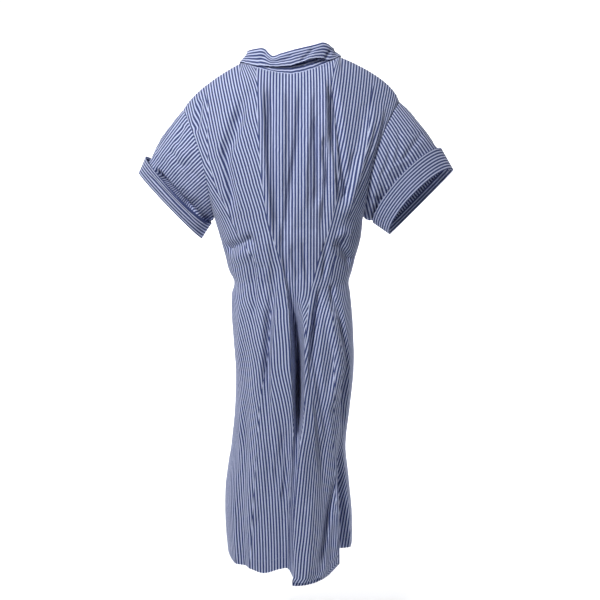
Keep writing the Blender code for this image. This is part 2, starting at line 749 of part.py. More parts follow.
def fall_edge(lines, normals):
    """The collar's lower edge: above the neckline behind, and lying on the fronts before it."""
    edge = lines[0]
    share = in_front(edge)
    reach = np.interp(edge[:, 0], COLLAR["x"], COLLAR["reach"]) * (1 - share)
    reach += COLLAR_FRONT_REACH * share + COLLAR_POINT_REACH * share**COLLAR_POINT_POWER
    stand_off = np.interp(edge[:, 0], COLLAR["x"], COLLAR["stand_off"])
    stand_off = stand_off * (1 - share) + COLLAR_FRONT_STAND_OFF * share
    steps = np.linalg.norm(np.diff(lines, axis=0), axis=2)
    arc = np.concatenate([np.zeros((1, len(edge))), np.cumsum(steps, axis=0)])
    result = []
    for i, length in enumerate(reach):
        place = [np.interp(length, arc[:, i], lines[:, i, k]) for k in range(3)]
        result.append(np.array(place) - UP * min(length, 0))
    return np.array(result) + normals * stand_off[:, None]


def fall_grid(stand, lower):
    """The collar's fall: up from the stand's upper edge, over the fold and down to its own edge."""
    outward = outward_at_neck(stand[0])
    start = stand[0] - outward * CLOTH + UP * SEAM_GAP
    rows = [
        start + outward * FOLD_WIDTH * out + UP * FOLD_RISE * up
        for out, up in zip(FOLD_PROFILE["out"], FOLD_PROFILE["up"])
    ]
    bend = rows[-1] + (lower - rows[-1]) * FALL_BEND + outward * FALL_ROUNDNESS
    down = np.linspace(0, 1, FALL_ROWS + 1)[1:, None]
    return np.concatenate([rows, bezier(rows[-1], bend, lower, down)])


def levels_of(name, grid, normals):
    """A body panel's levels, each drawn back where it meets the next: name, points and normals."""
    both = np.concatenate([grid, normals], axis=2)
    for level, (first, last) in PANEL_ROWS.items():
        rows = both[first : last + 1].copy()
        if first > 0:
            rows[0] = drawn_back(rows[0], rows[1])
        if last < len(grid) - 1:
            rows[-1] = drawn_back(rows[-1], rows[-2])
        yield f"{name}_{level}", rows[..., :3], rows[..., 3:]


def drawn_back(line, inner):
    """A row of points with normals, moved half a seam gap towards the next row inside it."""
    distance = np.linalg.norm(inner[:, :3] - line[:, :3], axis=1, keepdims=True)
    return line + (inner - line) * SEAM_GAP / 2 / distance


def shared_normals(grids, closed):
    """Every grid's normals, made the same where pieces meet, so that their rims lie side by side."""
    normals = {name: face_normals(grid, name in closed) for name, grid in grids.items()}
    points = np.concatenate([grid.reshape(-1, 3) for grid in grids.values()])
    vectors = np.concatenate([normals[name].reshape(-1, 3) for name in grids])
    _, index = np.unique(np.round(points * WELDS_PER_METRE).astype(np.int64), axis=0, return_inverse=True)
    index = index.reshape(-1)
    sums = np.zeros((index.max() + 1, 3))
    np.add.at(sums, index, vectors)
    vectors = unit(sums)[index]
    result, start = {}, 0
    for name, grid in grids.items():
        count = grid.shape[0] * grid.shape[1]
        result[name] = vectors[start : start + count].reshape(grid.shape)
        start += count
    return result


def inset(grid, normals, closed, edges):
    """The grid with the named edges drawn back by half a seam gap, square to the seam and to its normal."""
    result = grid.copy()
    cuts = {
        "top": (np.s_[0], np.s_[1]),
        "bottom": (np.s_[-1], np.s_[-2]),
        "first": (np.s_[:, 0], np.s_[:, 1]),
        "last": (np.s_[:, -1], np.s_[:, -2]),
    }
    for edge in edges:
        line, inner = (grid[cut] for cut in cuts[edge])
        ends = (line[-1:], line[:1]) if closed else (line[:1], line[-1:])
        run = np.gradient(np.concatenate([ends[0], line, ends[1]]), axis=0)[1:-1]
        inward = unit(np.cross(normals[cuts[edge][0]], run))
        inward *= np.sign(np.sum(inward * (inner - line), axis=-1, keepdims=True))
        result[cuts[edge][0]] += inward * SEAM_GAP / 2
    return result


def wall(name, outer, normals, closed, material):
    """A closed wall: the outer grid, the inner grid a cloth's thickness inside it, and their rims."""
    rows, columns = outer.shape[:2]
    inner = outer - normals * CLOTH
    count = rows * columns
    index = np.arange(count).reshape(rows, columns)
    if closed:
        index = np.concatenate([index, index[:, :1]], axis=1)
    a, b, c, d = index[:-1, :-1], index[:-1, 1:], index[1:, 1:], index[1:, :-1]
    outside = np.stack([a, d, c, b], axis=-1).reshape(-1, 4)
    inside = np.stack([a, b, c, d], axis=-1).reshape(-1, 4) + count
    borders = [index[0], index[-1][::-1]]
    if not closed:
        borders += [index[:, 0][::-1], index[:, -1]]
    level = outer[..., 2].reshape(-1)
    rims = np.concatenate([rim(line, level, count) for line in borders])
    mesh = bpy.data.meshes.new(name)
    points = np.concatenate([outer.reshape(-1, 3), inner.reshape(-1, 3)])
    faces = outside.tolist() + inside.tolist() + rims.tolist()
    mesh.from_pydata(points.tolist(), [], faces)
    return placed(name, mesh, material)


def rim(line, level, count):
    """Faces joining a border to the inner grid, split from each higher point so that seams match."""
    a, b = line[:-1], line[1:]
    falls = (level[a] > level[b])[:, None]
    first = np.where(falls, np.stack([a, b, b + count], axis=-1), np.stack([a, b, a + count], axis=-1))
    second = np.where(
        falls,
        np.stack([a, b + count, a + count], axis=-1),
        np.stack([b, b + count, a + count], axis=-1),
    )
    return np.concatenate([first, second])


def placed(name, mesh, material):
    mesh.materials.append(material)
    mesh.validate()
    mesh.update()
    mesh.shade_smooth()
    mesh.set_sharp_from_angle(angle=SHARP_ANGLE)
    piece = bpy.data.objects.new(name, mesh)
    bpy.context.scene.collection.objects.link(piece)
    return piece


def surface_material(name, colour, roughness):
    material = bpy.data.materials.new(name)
    material.use_nodes = True
    shader = material.node_tree.nodes["Principled BSDF"]
    shader.inputs["Base Color"].default_value = (*colour, 1)
    shader.inputs["Roughness"].default_value = roughness
    shader.inputs["Metallic"].default_value = 0
    return material


def button_places(front):
    """Each button's centre on the right front's outer side, and the way the cloth faces there."""
    normals = face_normals(front)
    levels = front[:, -1, 2]
    for i in range(BUTTON_COUNT):
        level = FIRST_BUTTON_Z - i * BUTTON_SPACING
        row = int(np.argmax(levels < level)) - 1
        down = (levels[row] - level) / (levels[row] - levels[row + 1])
        line = front[row] + (front[row + 1] - front[row]) * down
        facing = normals[row] + (normals[row + 1] - normals[row]) * down
        place = [np.interp(0, *ordered(line[:, 0], line[:, k])) for k in range(3)]
        normal = [np.interp(0, *ordered(line[:, 0], facing[:, k])) for k in range(3)]
        yield np.array(place), unit(np.array(normal))


def add_button(name, place, normal, material):
    """A round disc just clear of the cloth."""
    work = bmesh.new()
    bmesh.ops.create_cone(
        work,
        cap_ends=True,
        segments=BUTTON_SIDES,
        radius1=BUTTON_RADIUS,
        radius2=BUTTON_RADIUS,
        depth=BUTTON_THICKNESS,
    )
    mesh = bpy.data.meshes.new(name)
    work.to_mesh(mesh)
    work.free()
    piece = placed(name, mesh, material)
    piece.location = place + normal * (BUTTON_LIFT + BUTTON_THICKNESS / 2)
    piece.rotation_euler = Vector(normal).to_track_quat("Z", "Y").to_euler()


def clear_scene():
    for item in list(bpy.data.objects):
        bpy.data.objects.remove(item, do_unlink=True)


def poplin(name):
    return surface_material(f"{name} poplin", POPLIN_BLUE, POPLIN_ROUGHNESS)


def main():
    clear_scene()
    back = back_grid()
    right, left = front_grid("right"), front_grid("left")
    sleeve_left, sleeve_right = sleeve_grid("left", back, left), sleeve_grid("right", back, right)
    neck = np.array([neck_line(row, back, right, left) for row in range(COLLAR_UNDER_ROWS)])
    facing = neck_line(1, *(face_normals(grid) for grid in (back, right, left)))
    facing = unit(facing + outward_at_neck(neck[0]) + UP)
    stand = stand_grid(neck[0])
    fall = fall_grid(stand, fall_edge(neck, facing))

    # Each sewn piece's grid, and the edges where it meets another piece.
    sewn = {
        "back": (back, ("top", "first", "last")),
        "front_right": (right, ("top", "first")),
        "front_left": (left, ("top", "last")),
        "sleeve_left": (sleeve_left, ("top",)),
        "sleeve_right": (sleeve_right, ("top",)),
        "collar_stand": (stand, ("bottom",)),
    }
    tubes = ("sleeve_left", "sleeve_right")
    normals = shared_normals({name: grid for name, (grid, _) in sewn.items()}, tubes)
    for name, (grid, seams) in sewn.items():
        outer = inset(grid, normals[name], name in tubes, seams)
        if name in ("back", "front_right", "front_left"):
            for level, points, facing in levels_of(name, outer, normals[name]):
                wall(level, points, facing, False, poplin(level))
        else:
            wall(name, outer, normals[name], name in tubes, poplin(name))
    for name, sleeve in (("left", sleeve_left), ("right", sleeve_right)):
        cuff = cuff_grid(SIDES[name], sleeve)
        wall(f"cuff_{name}", cuff, face_normals(cuff, True), True, poplin(f"cuff_{name}"))
    wall("collar_fall", fall, face_normals(fall), False, poplin("collar_fall"))
    for number, (place, normal) in enumerate(button_places(right), 1):
        name = f"button_{number:02d}"
        resin = surface_material(f"{name} resin", RESIN_PEARL, RESIN_ROUGHNESS)
        add_button(name, place, normal, resin)


if __name__ == "__main__":
    main()
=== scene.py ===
"""A women's midi shirt dress in striped cotton poplin, worn and filled out, over its solids.

Laid out as an add-on and run as a script. Metres, +Z up. The back of the dress faces -Y, the
wearer's right side is +X, and the origin is at the base of the neck.
"""

import functools
import math

import bpy
import numpy as np
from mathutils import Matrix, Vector


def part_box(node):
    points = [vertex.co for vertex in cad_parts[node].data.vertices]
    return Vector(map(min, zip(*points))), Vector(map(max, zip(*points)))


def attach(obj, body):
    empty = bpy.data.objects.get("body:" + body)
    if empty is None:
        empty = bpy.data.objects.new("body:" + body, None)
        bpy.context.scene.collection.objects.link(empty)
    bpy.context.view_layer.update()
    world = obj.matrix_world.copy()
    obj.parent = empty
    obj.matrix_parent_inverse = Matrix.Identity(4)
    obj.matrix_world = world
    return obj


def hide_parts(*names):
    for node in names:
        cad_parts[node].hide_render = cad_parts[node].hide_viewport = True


bl_info = {
    "name": "Striped shirt dress",
    "version": (1, 0, 0),
    "blender": (4, 5, 0),
    "location": "View3D > Sidebar > Dress",
    "description": "Builds a striped poplin shirt dress, filled out as worn, over its solids",
    "category": "Object",
}

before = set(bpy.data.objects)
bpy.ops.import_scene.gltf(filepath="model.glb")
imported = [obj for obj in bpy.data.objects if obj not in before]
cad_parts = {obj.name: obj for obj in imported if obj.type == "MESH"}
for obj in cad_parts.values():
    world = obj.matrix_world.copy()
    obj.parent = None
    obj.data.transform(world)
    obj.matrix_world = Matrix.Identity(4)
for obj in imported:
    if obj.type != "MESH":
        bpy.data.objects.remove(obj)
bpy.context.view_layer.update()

# Levels of the body, and how square its level sections are (2 is an ellipse).
UNDERARM_Z = -0.336
WAIST_Z = -0.480
FULLNESS_Z = -0.564
HEM_Z = -1.090
SECTION_POWER = 2.25

# How the upper panels leave the shoulders: smaller roundings stand out sooner.
SHOULDER_ROUNDING = 0.65
NECK_ROUNDING = 0.35
NECK_ROUNDING_REACH = 0.60
CORNER_SOFTENING = 0.05
SOFTENING_PASSES = 2
CORNER_DEPTH = 0.16
EDGE_FADE = 5
BACK_BULGE = 0.010
BACK_BULGE_POWER = 0.6
FRONT_BULGE = 0.020

# The armholes' depth behind and before the shoulder seams, and the powers that shape them.
ARMHOLE_BACK = 0.060
ARMHOLE_FRONT = 0.046
ARMHOLE_DEPTH_POWER = 0.55
ARMHOLE_HOLLOW_POWER = 0.85

# The neckline, and the open part of the front below it.
BACK_NECK_DEPTH = 0.055
BACK_NECK_Z = -0.038
BACK_NECK_POWER = 1.6
FRONT_NECK = (0.046, 0.078, -0.078)
FRONT_NECK_BEND = (0.101, 0.062, -0.046)
OPEN_FRONT_Z = -0.175
OPEN_FRONT_T = 0.362

# The button front: its right edge laps over its left one by this much past the middle.
LAP = 0.015
LAP_DEPTH = 0.0026
LAP_FADE = 0.030

# The collar: a stand that leans in, most at the sides, and a fall folded over it.
STAND_LEAN = 0.003
SIDE_LEAN = 0.020
FRONT_STAND_HEIGHT = 0.024
FOLD_GAP = 0.0006
FOLD_RISE = 0.006
FOLD_RISE_POWER = 0.8
FOLD_WIDTH = 0.0084
FALL_BEND = 0.4
FALL_ROUNDNESS = 0.002
COLLAR_FRONT_REACH = 0.020
COLLAR_POINT_REACH = 0.034
COLLAR_POINT_POWER = 6
COLLAR_FRONT_STAND_OFF = 0.006
# The collar lies on the rows above this share of the upper panels, and faces as this row does.
COLLAR_LIES_TO = 0.23
COLLAR_FACING_ROW = 5

# The sleeves and their turned-up cuffs.
SLEEVE_HALF_DEPTH = 0.047
SLEEVE_SWELL = 0.006
SLEEVE_CROWDING = 1.15
# How much a sleeve's stripes spread going down, for each metre; less than 0 closes them up.
SLEEVE_FANS = {"left": -1.8, "right": 1.8}
# They neither spread nor close up this far below the sleeve's top.
SLEEVE_FAN_MIDDLE = 0.06
SLEEVE_CURVE_POINTS = 200
CUFF_CLEAR = 0.0021
CUFF_STAND_OFF = 0.0065
CUFF_EDGE_ROUND = 0.0007
# How far more a cuff's free edge stands off its sleeve behind than its solid's.
CUFF_GAPE = {"left": 0.011, "right": 0.001}
# How far that edge sags there, as a share of the cuff's depth.
CUFF_SAG = {"left": 0.04, "right": 0.0}

# Grid sizes. Rows run down the cloth and columns run across it.
UPPER_ROWS = 68
WAIST_ROWS = 34
SKIRT_ROWS = 60
ROW_CROWDING = 1.2
BACK_COLUMNS = 300
FRONT_COLUMNS = 120
NECK_COLUMNS = 120
FRONT_NECK_COLUMNS = 40
SETTLED_T = 0.4
SLEEVE_ROWS = 44
CUFF_ROWS = 18
CUFF_EDGE_ROWS = 6
STAND_ROWS = 8
FOLD_ROWS = 9
FALL_ROWS = 18
FINE_COLUMNS = 1441

# Folds fade out over these widths: beside a seam, and below the neckline as a share of the panel.
SEAM_CALM = 0.022
NECK_CALM = 0.25

# The cloth's wall, the hem's depth, and the groove that a sewn edge sinks into.
SHEET = 0.0007
HEM_DEPTH = 0.025
SEAM_GROOVE = 0.0011
SEAM_GROOVE_WIDTH = 0.0045

# Gathers beside stitching: how high, and how many waves of what lengths make them up.
PUCKER = 0.00028
PUCKER_WAVES = 5
PUCKER_LENGTHS = (0.009, 0.026)
HEM_PUCKER_WIDTH = 0.012
SEAM_PUCKER_WIDTH = 0.010

# Small creases: how high, how wide and long, how far they turn from upright, and their bend.
CRUMPLE = 0.0012
DRAPE = 0.0010
CRUMPLE_SHARES = (0.4, 1.0)
CRUMPLE_WIDTHS = (0.003, 0.008)
CRUMPLE_WIDTH = 0.006
CRUMPLE_LENGTHS = (0.012, 0.050)
CRUMPLE_TURN = 0.75
CRUMPLE_BEND = 4.0
# How many of them each piece has, and of wider, softer drapes, with the drapes' scale.
BACK_CRUMPLES = 420
FRONT_CRUMPLES = 230
SLEEVE_CRUMPLES = 150
FRONT_DRAPES = (60, 2.2)
SLEEVE_DRAPES = (30, 2.0)
# They fade in over a width beside a seam, on the fronts and at the underarm from a distance on.
SEAM_FADE = 0.02
FRONT_CALM = (0.01, 0.025)
UNDERARM_CALM = (0.002, 0.015)
UNDERARM_PUCKER_FADE = 0.01
# A sleeve's and a cuff's creases lie behind, and fade out at this rate towards its sides.
BEHIND_RATE = 3

# The back's hollow at the waist is filled by this much, over this height and half width.
WAIST_FILL = 0.006
WAIST_REACH = 0.060
WAIST_HALF_WIDTH = 0.13
# The back's creases sink straight in, and turn sideways only near the side seams.
SIDE_TURN_POWER = 5

# What a cut piece takes across and down for its seams, the share of its length that they run
# along, and how much of its rectangle a cut fills at most.
SEAM_ALLOWANCE = (0.02, 0.02)
ALLOWANCE_SHARE = 0.9
CUT_SHARE = 0.98

# Buttons, with half a section from the middle of the face out to the rim and back underneath,
# as shares of the radius and the thickness.
BUTTONS = 10
BUTTON_RADIUS = 0.0057
BUTTON_THICKNESS = 0.0026
BUTTON_SIDES = 40
BUTTON_PROFILE = np.array(
    [
        (0.0, 0.58), (0.30, 0.58), (0.62, 0.60), (0.74, 0.72), (0.80, 0.94), (0.87, 1.00),
        (0.94, 0.94), (0.99, 0.72), (1.00, 0.48), (0.96, 0.22), (0.84, 0.06), (0.60, 0.0),
        (0.0, 0.0),
    ]
)
HOLE_RADIUS = 0.0008
HOLE_PLACE = 0.00125
HOLE_SIDES = 12

# Stitches: from one to the next, the share of that which shows, the thread's width, and how far
# above the cloth they lie.
STITCH_PITCH = 0.0026
STITCH_SHARE = 0.78
STITCH_WIDTH = 0.0005
STITCH_LIFT = 0.0002
# A stitch's top, underside and sunk tips, as shares of its width.
STITCH_TOP = 0.7
STITCH_UNDERSIDE = 0.4
STITCH_TIP = 0.25
# A satin stitch is a row of one, as nothing is as long as its pitch.
SATIN_LENGTH = 0.01
SATIN_WIDTH = 0.0006
# Rows of stitching beside the right front's edge, the collar's edge and the stand's seam.
PLACKET_ROWS = (0.003, 0.027)
COLLAR_ROW = 0.005
STAND_ROW = 0.002
# A buttonhole: satin stitches along it and across each end, and how far apart they lie.
SATIN_STITCHES = 28
SATIN_PITCH = 0.00054
SATIN_SPAN = (0.0002, 0.0013)
BAR_STITCHES = 5
BAR_PITCH = 0.00055
BAR_SPAN = (0.0072, 0.0086)
BUTTONHOLE_DROP = 0.0004
# The threads through a button lie side by side, just above its middle.
THREAD_SPREAD = 0.00025
THREAD_RISE = 0.1

# Threads lie 0.25 mm apart and are drawn at 0.9 mm, so that they still show.
THREAD = 0.0009
# How far yarns wander and how soft a stripe's edge is, as shares of a stripe repeat.
YARN_WANDER = 0.12
STRIPE_EDGE = 0.045
# How much the weave darkens the blue and lifts the surface, and how far washing fades the dye.
WEAVE_SHADE = 0.05
WEAVE_RELIEF = 0.06
FADING = 0.5

# Edges sharper than these angles, in degrees, stay sharp on the cloth and on the buttons.
CLOTH_EDGE = 60
BUTTON_EDGE = 45

# The floor is a sheet of paper that curves up behind the dress, and runs this far each way.
FLOOR_Z = -1.30
FLOOR_REACH = 6
FLOOR_CURVE_Y = 2.0
FLOOR_CURVE = 1.5
FLOOR_CELLS = 48
CURVE_CELLS = 16
WALL_CELLS = 12
CAMERA_PLACE = (0.0218, -2.35, -0.23)
CAMERA_AIM = (0.0218, 0.0, -0.519)
# In millimetres.
CAMERA_LENS = 65.17
CAMERA_SENSOR = 36.0
# Each lamp's name, place, the point it faces, size across in metres, power in watts and spread
# in degrees.
LIGHTS = (
    ("key", (-1.2, -2.1, 1.3), (0.05, 0.0, -0.1), 0.6, 16.5, 86),
    ("fill", (1.5, -2.3, 0.9), (0.0, 0.0, -0.1), 1.8, 2.6, 120),
    ("top", (-0.2, -0.3, 1.6), (0.0, 0.0, -0.4), 1.4, 1.5, 180),
    ("behind", (0.5, 2.2, 1.0), (0.0, 0.0, -0.4), 2.0, 2.0, 180),
    ("backdrop_left", (-2.0, 1.3, 0.9), (0.0, 2.6, -1.2), 1.6, 62.0, 122),
    ("backdrop_right", (2.0, 1.3, 0.9), (0.0, 2.6, -1.2), 1.6, 62.0, 122),
)

UP = np.array([0, 0, 1.0])


def table(names, *rows):
    """Columns of values by name, from rows of thousandths."""
    return dict(zip(names.split(), np.array(rows, float).T / 1000))


def fold(*rows):
    """A fold down the cloth, in millimetres.

    At each level it has a place in X, a depth (a trough is positive, a ridge negative) and how
    far its two sides reach along the cloth.
    """
    return table("z x depth left right", *rows)


def line(*rows):
    """A line down the cloth, in millimetres: its place in X at each level."""
    return table("z x", *rows)


# Level sections of the body, in millimetres: its side edges in X, and how far the back and the
# front stand out.
SECTIONS = table(
    "z left right back front",
    (-336, -164, 158, 96, 110), (-388, -149, 152, 92, 109), (-421, -140, 143, 86, 103),
    (-453, -132, 135, 80, 95), (-480, -121, 128, 76, 88), (-501, -126, 131, 80, 88),
    (-541, -127, 135, 92, 94), (-585, -125, 138, 103, 98), (-674, -119, 140, 113, 101),
    (-764, -122, 132, 116, 103), (-854, -131, 123, 118, 105), (-945, -143, 131, 122, 108),
    (-1038, -144, 138, 128, 112), (-1090, -140, 138, 130, 114),
)

# The hem's level across the back and across the fronts.
BACK_HEM = table(
    "x z",
    (-145, -1066), (-128, -1082), (-85, -1086), (-58, -1091), (-20, -1080), (-4, -1080),
    (16, -1113), (36, -1117), (80, -1102), (105, -1084), (125, -1068), (140, -1056),
)
FRONT_HEM = table(
    "x z",
    (-145, -1066), (-100, -1080), (0, -1086), (100, -1074), (140, -1056),
)

# Folds that run down the cloth, behind and in front.
BACK_FOLDS = {
    "left shoulder pleat": fold(
        (-55, -44, 0, 10, 14), (-130, -42, 6, 10, 14), (-200, -45, 6, 10, 14),
        (-300, -40, 4, 10, 14), (-390, -35, 0, 10, 14),
    ),
    "left drag line": fold(
        (-75, -103, 0, 18, 18), (-130, -104, 8, 20, 18), (-165, -117, 8, 22, 20),
        (-210, -134, 7, 22, 22), (-290, -126, 6, 18, 22), (-350, -118, 0, 16, 22),
    ),
    "right shoulder pleat": fold(
        (-40, 86, 0, 16, 12), (-120, 88, 8, 18, 13), (-200, 87, 10, 18, 12), (-260, 80, 9, 15, 14),
        (-320, 73, 6, 12, 16), (-380, 66, 0, 12, 16),
    ),
    "right drag ridge": fold(
        (-90, 178, 0, 18, 16), (-150, 166, -6, 20, 16), (-220, 146, -8, 20, 18),
        (-290, 124, -6, 16, 20), (-360, 104, 0, 14, 20),
    ),
    "left waist tuck": fold(
        (-360, -82, 0, 14, 12), (-420, -80, 5, 14, 12), (-480, -78, 6, 12, 12),
        (-540, -78, 3, 14, 14), (-600, -80, 0, 14, 14),
    ),
    "centre valley": fold(
        (-450, 10, 0, 18, 22), (-500, 9, 10, 17, 20), (-560, 15, 34, 14, 16),
        (-620, 20, 52, 13, 13), (-720, 20, 60, 13, 12), (-800, 18, 54, 14, 11),
        (-870, 11, 40, 20, 10), (-940, 4, 28, 30, 13), (-1100, 0, 26, 38, 14),
    ),
    "right lobe": fold(
        (-760, 36, 0, 18, 30), (-870, 34, -12, 24, 40), (-960, 34, -24, 30, 56),
        (-1100, 36, -34, 34, 62),
    ),
    "right strip": fold(
        (-480, 64, 0, 7, 15), (-530, 58, 9, 7, 16), (-580, 49, 12, 7, 18), (-640, 45, 8, 8, 18),
        (-710, 46, 0, 10, 16),
    ),
    "right hip": fold(
        (-500, 98, 0, 10, 14), (-550, 106, 8, 11, 16), (-600, 114, 12, 13, 18),
        (-720, 117, 12, 15, 20), (-820, 110, 0, 15, 20),
    ),
    "left hip": fold(
        (-480, -47, 0, 14, 11), (-540, -47, 9, 14, 10), (-610, -51, 10, 15, 11),
        (-690, -48, 8, 16, 12), (-800, -46, 0, 16, 12),
    ),
    "low right": fold(
        (-690, 52, 0, 12, 14), (-770, 63, 8, 12, 16), (-830, 68, 6, 12, 18), (-900, 70, 0, 12, 18),
    ),
    "left of centre": fold(
        (-740, -18, 0, 14, 10), (-820, -18, 7, 14, 10), (-880, -24, 7, 16, 12),
        (-950, -40, 0, 18, 14),
    ),
    "right lobe crease": fold(
        (-890, 98, 0, 14, 12), (-950, 90, 7, 16, 14), (-1000, 78, 8, 16, 16),
        (-1100, 52, 5, 16, 18),
    ),
    "right side notch": fold(
        (-800, 106, 0, 18, 16), (-880, 113, 14, 22, 18), (-950, 120, 30, 28, 20),
        (-1100, 127, 46, 40, 24),
    ),
    "left low": fold(
        (-700, -98, 0, 18, 18), (-820, -100, 7, 20, 20), (-950, -106, 9, 22, 22),
        (-1100, -104, 10, 24, 24),
    ),
    # The valley is shallower than its solid's where the right lobe closes over it,
    "valley closed": fold(
        (-620, 20, 0, 13, 13), (-720, 20, -6, 13, 12), (-800, 18, -44, 14, 11),
        (-870, 11, -34, 20, 10), (-940, 4, -24, 30, 13), (-1100, 0, -20, 38, 14),
    ),
    # steeper on its left above that, under the left fold,
    "valley cut": fold(
        (-400, -16, 0, 6, 12), (-450, -8, 6, 6, 13), (-500, 1, 11, 7, 14), (-560, 7, 21, 8, 16),
        (-620, 10, 22, 9, 16), (-680, 12, 20, 10, 15), (-740, 14, 13, 10, 13),
        (-810, 16, 0, 10, 10),
    ),
    # and beside the left hip's ridge runs a long dip.
    "left hip dip": fold(
        (-430, -28, 0, 10, 10), (-480, -33, 5, 11, 10), (-530, -38, 9, 12, 10),
        (-590, -43, 10, 13, 10), (-650, -49, 7, 13, 11), (-740, -56, 0, 14, 12),
    ),
}
FRONT_FOLDS = {
    "right bust tuck": fold(
        (-270, 78, 0, 14, 16), (-370, 70, 6, 14, 16), (-440, 64, 7, 13, 14), (-490, 62, 3, 12, 12),
        (-530, 62, 0, 12, 12),
    ),
    "left bust tuck": fold(
        (-250, -80, 0, 16, 14), (-350, -71, 6, 16, 14), (-440, -62, 8, 14, 13),
        (-500, -60, 0, 12, 12),
    ),
    "right front valley": fold(
        (-480, 52, 0, 14, 14), (-560, 56, 12, 15, 16), (-700, 64, 20, 17, 18),
        (-900, 68, 20, 20, 22), (-1100, 70, 24, 22, 24),
    ),
    "right front hip": fold(
        (-500, 98, 0, 14, 14), (-600, 106, 10, 14, 16), (-780, 108, 12, 16, 18),
        (-1000, 110, 0, 16, 18),
    ),
    "left front valley": fold(
        (-490, -58, 0, 14, 14), (-580, -60, 10, 16, 15), (-720, -62, 18, 18, 17),
        (-900, -66, 22, 22, 20), (-1100, -70, 26, 26, 22),
    ),
    "left front hip": fold(
        (-520, -96, 0, 14, 14), (-640, -98, 9, 16, 14), (-840, -106, 10, 18, 16),
        (-1040, -112, 0, 18, 16),
    ),
}

# Each side's own points and sizes. The shoulder seam runs from the neck by its bend to the
# shoulder. The armhole hollows towards the neck. The neckline rises to the neck from behind.
# A cuff's outer and inner corners end its free upper edge and its folded lower edge. The draw
# sets a side's crumples apart from the other's.
SIDES = {
    "left": {
        "sign": -1,
        "draw": 0,
        "neck": (-0.103, 0.0, -0.012),
        "bend": (-0.200, 0.0, -0.062),
        "shoulder": (-0.228, 0.0, -0.110),
        "underarm": (-0.164, 0.0, UNDERARM_Z),
        "hollow": 0.013,
        "neck_rise": 0.026,
        "cuff_top_outer": (-0.300, 0.018, -0.214),
        "cuff_top_inner": (-0.178, 0.014, -0.346),
        "cuff_end_outer": (-0.326, 0.022, -0.243),
        "cuff_end_inner": (-0.193, 0.022, -0.384),
        "back_rise": 0.000,
        "front_drop": 0.000,
        "cuff_gape": 0.004,
    },
    "right": {
        "sign": 1,
        "draw": 1,
        "neck": (0.106, 0.0, 0.001),
        "bend": (0.219, 0.0, -0.044),
        "shoulder": (0.234, 0.0, -0.092),
        "underarm": (0.158, 0.0, UNDERARM_Z),
        "hollow": 0.018,
        "neck_rise": 0.039,
        "cuff_top_outer": (0.319, 0.0, -0.198),
        "cuff_top_inner": (0.184, 0.0, -0.344),
        "cuff_end_outer": (0.350, 0.0, -0.238),
        "cuff_end_inner": (0.216, 0.0, -0.374),
        "back_rise": 0.030,
        "front_drop": 0.006,
        "cuff_gape": 0.000,
    },
}

# Across the back of the neck: the level of the collar's fold line, how far the fall's edge
# reaches below the neckline, and how far it stands off the cloth there.
COLLAR = table(
    "x fold reach stand_off",
    (-110, 6, 1, 5), (-84, 12, 0, 5), (-70, 14, -1, 5), (-50, 13, -4, 6), (-36, -1, -6, 6),
    (-18, 3, -8, 8), (3, 9, -10, 10), (55, 23, -11, 12), (67, 27, -7, 10), (78, 24, -2, 7),
    (86, 18, 1, 5), (110, 10, 1, 5),
)

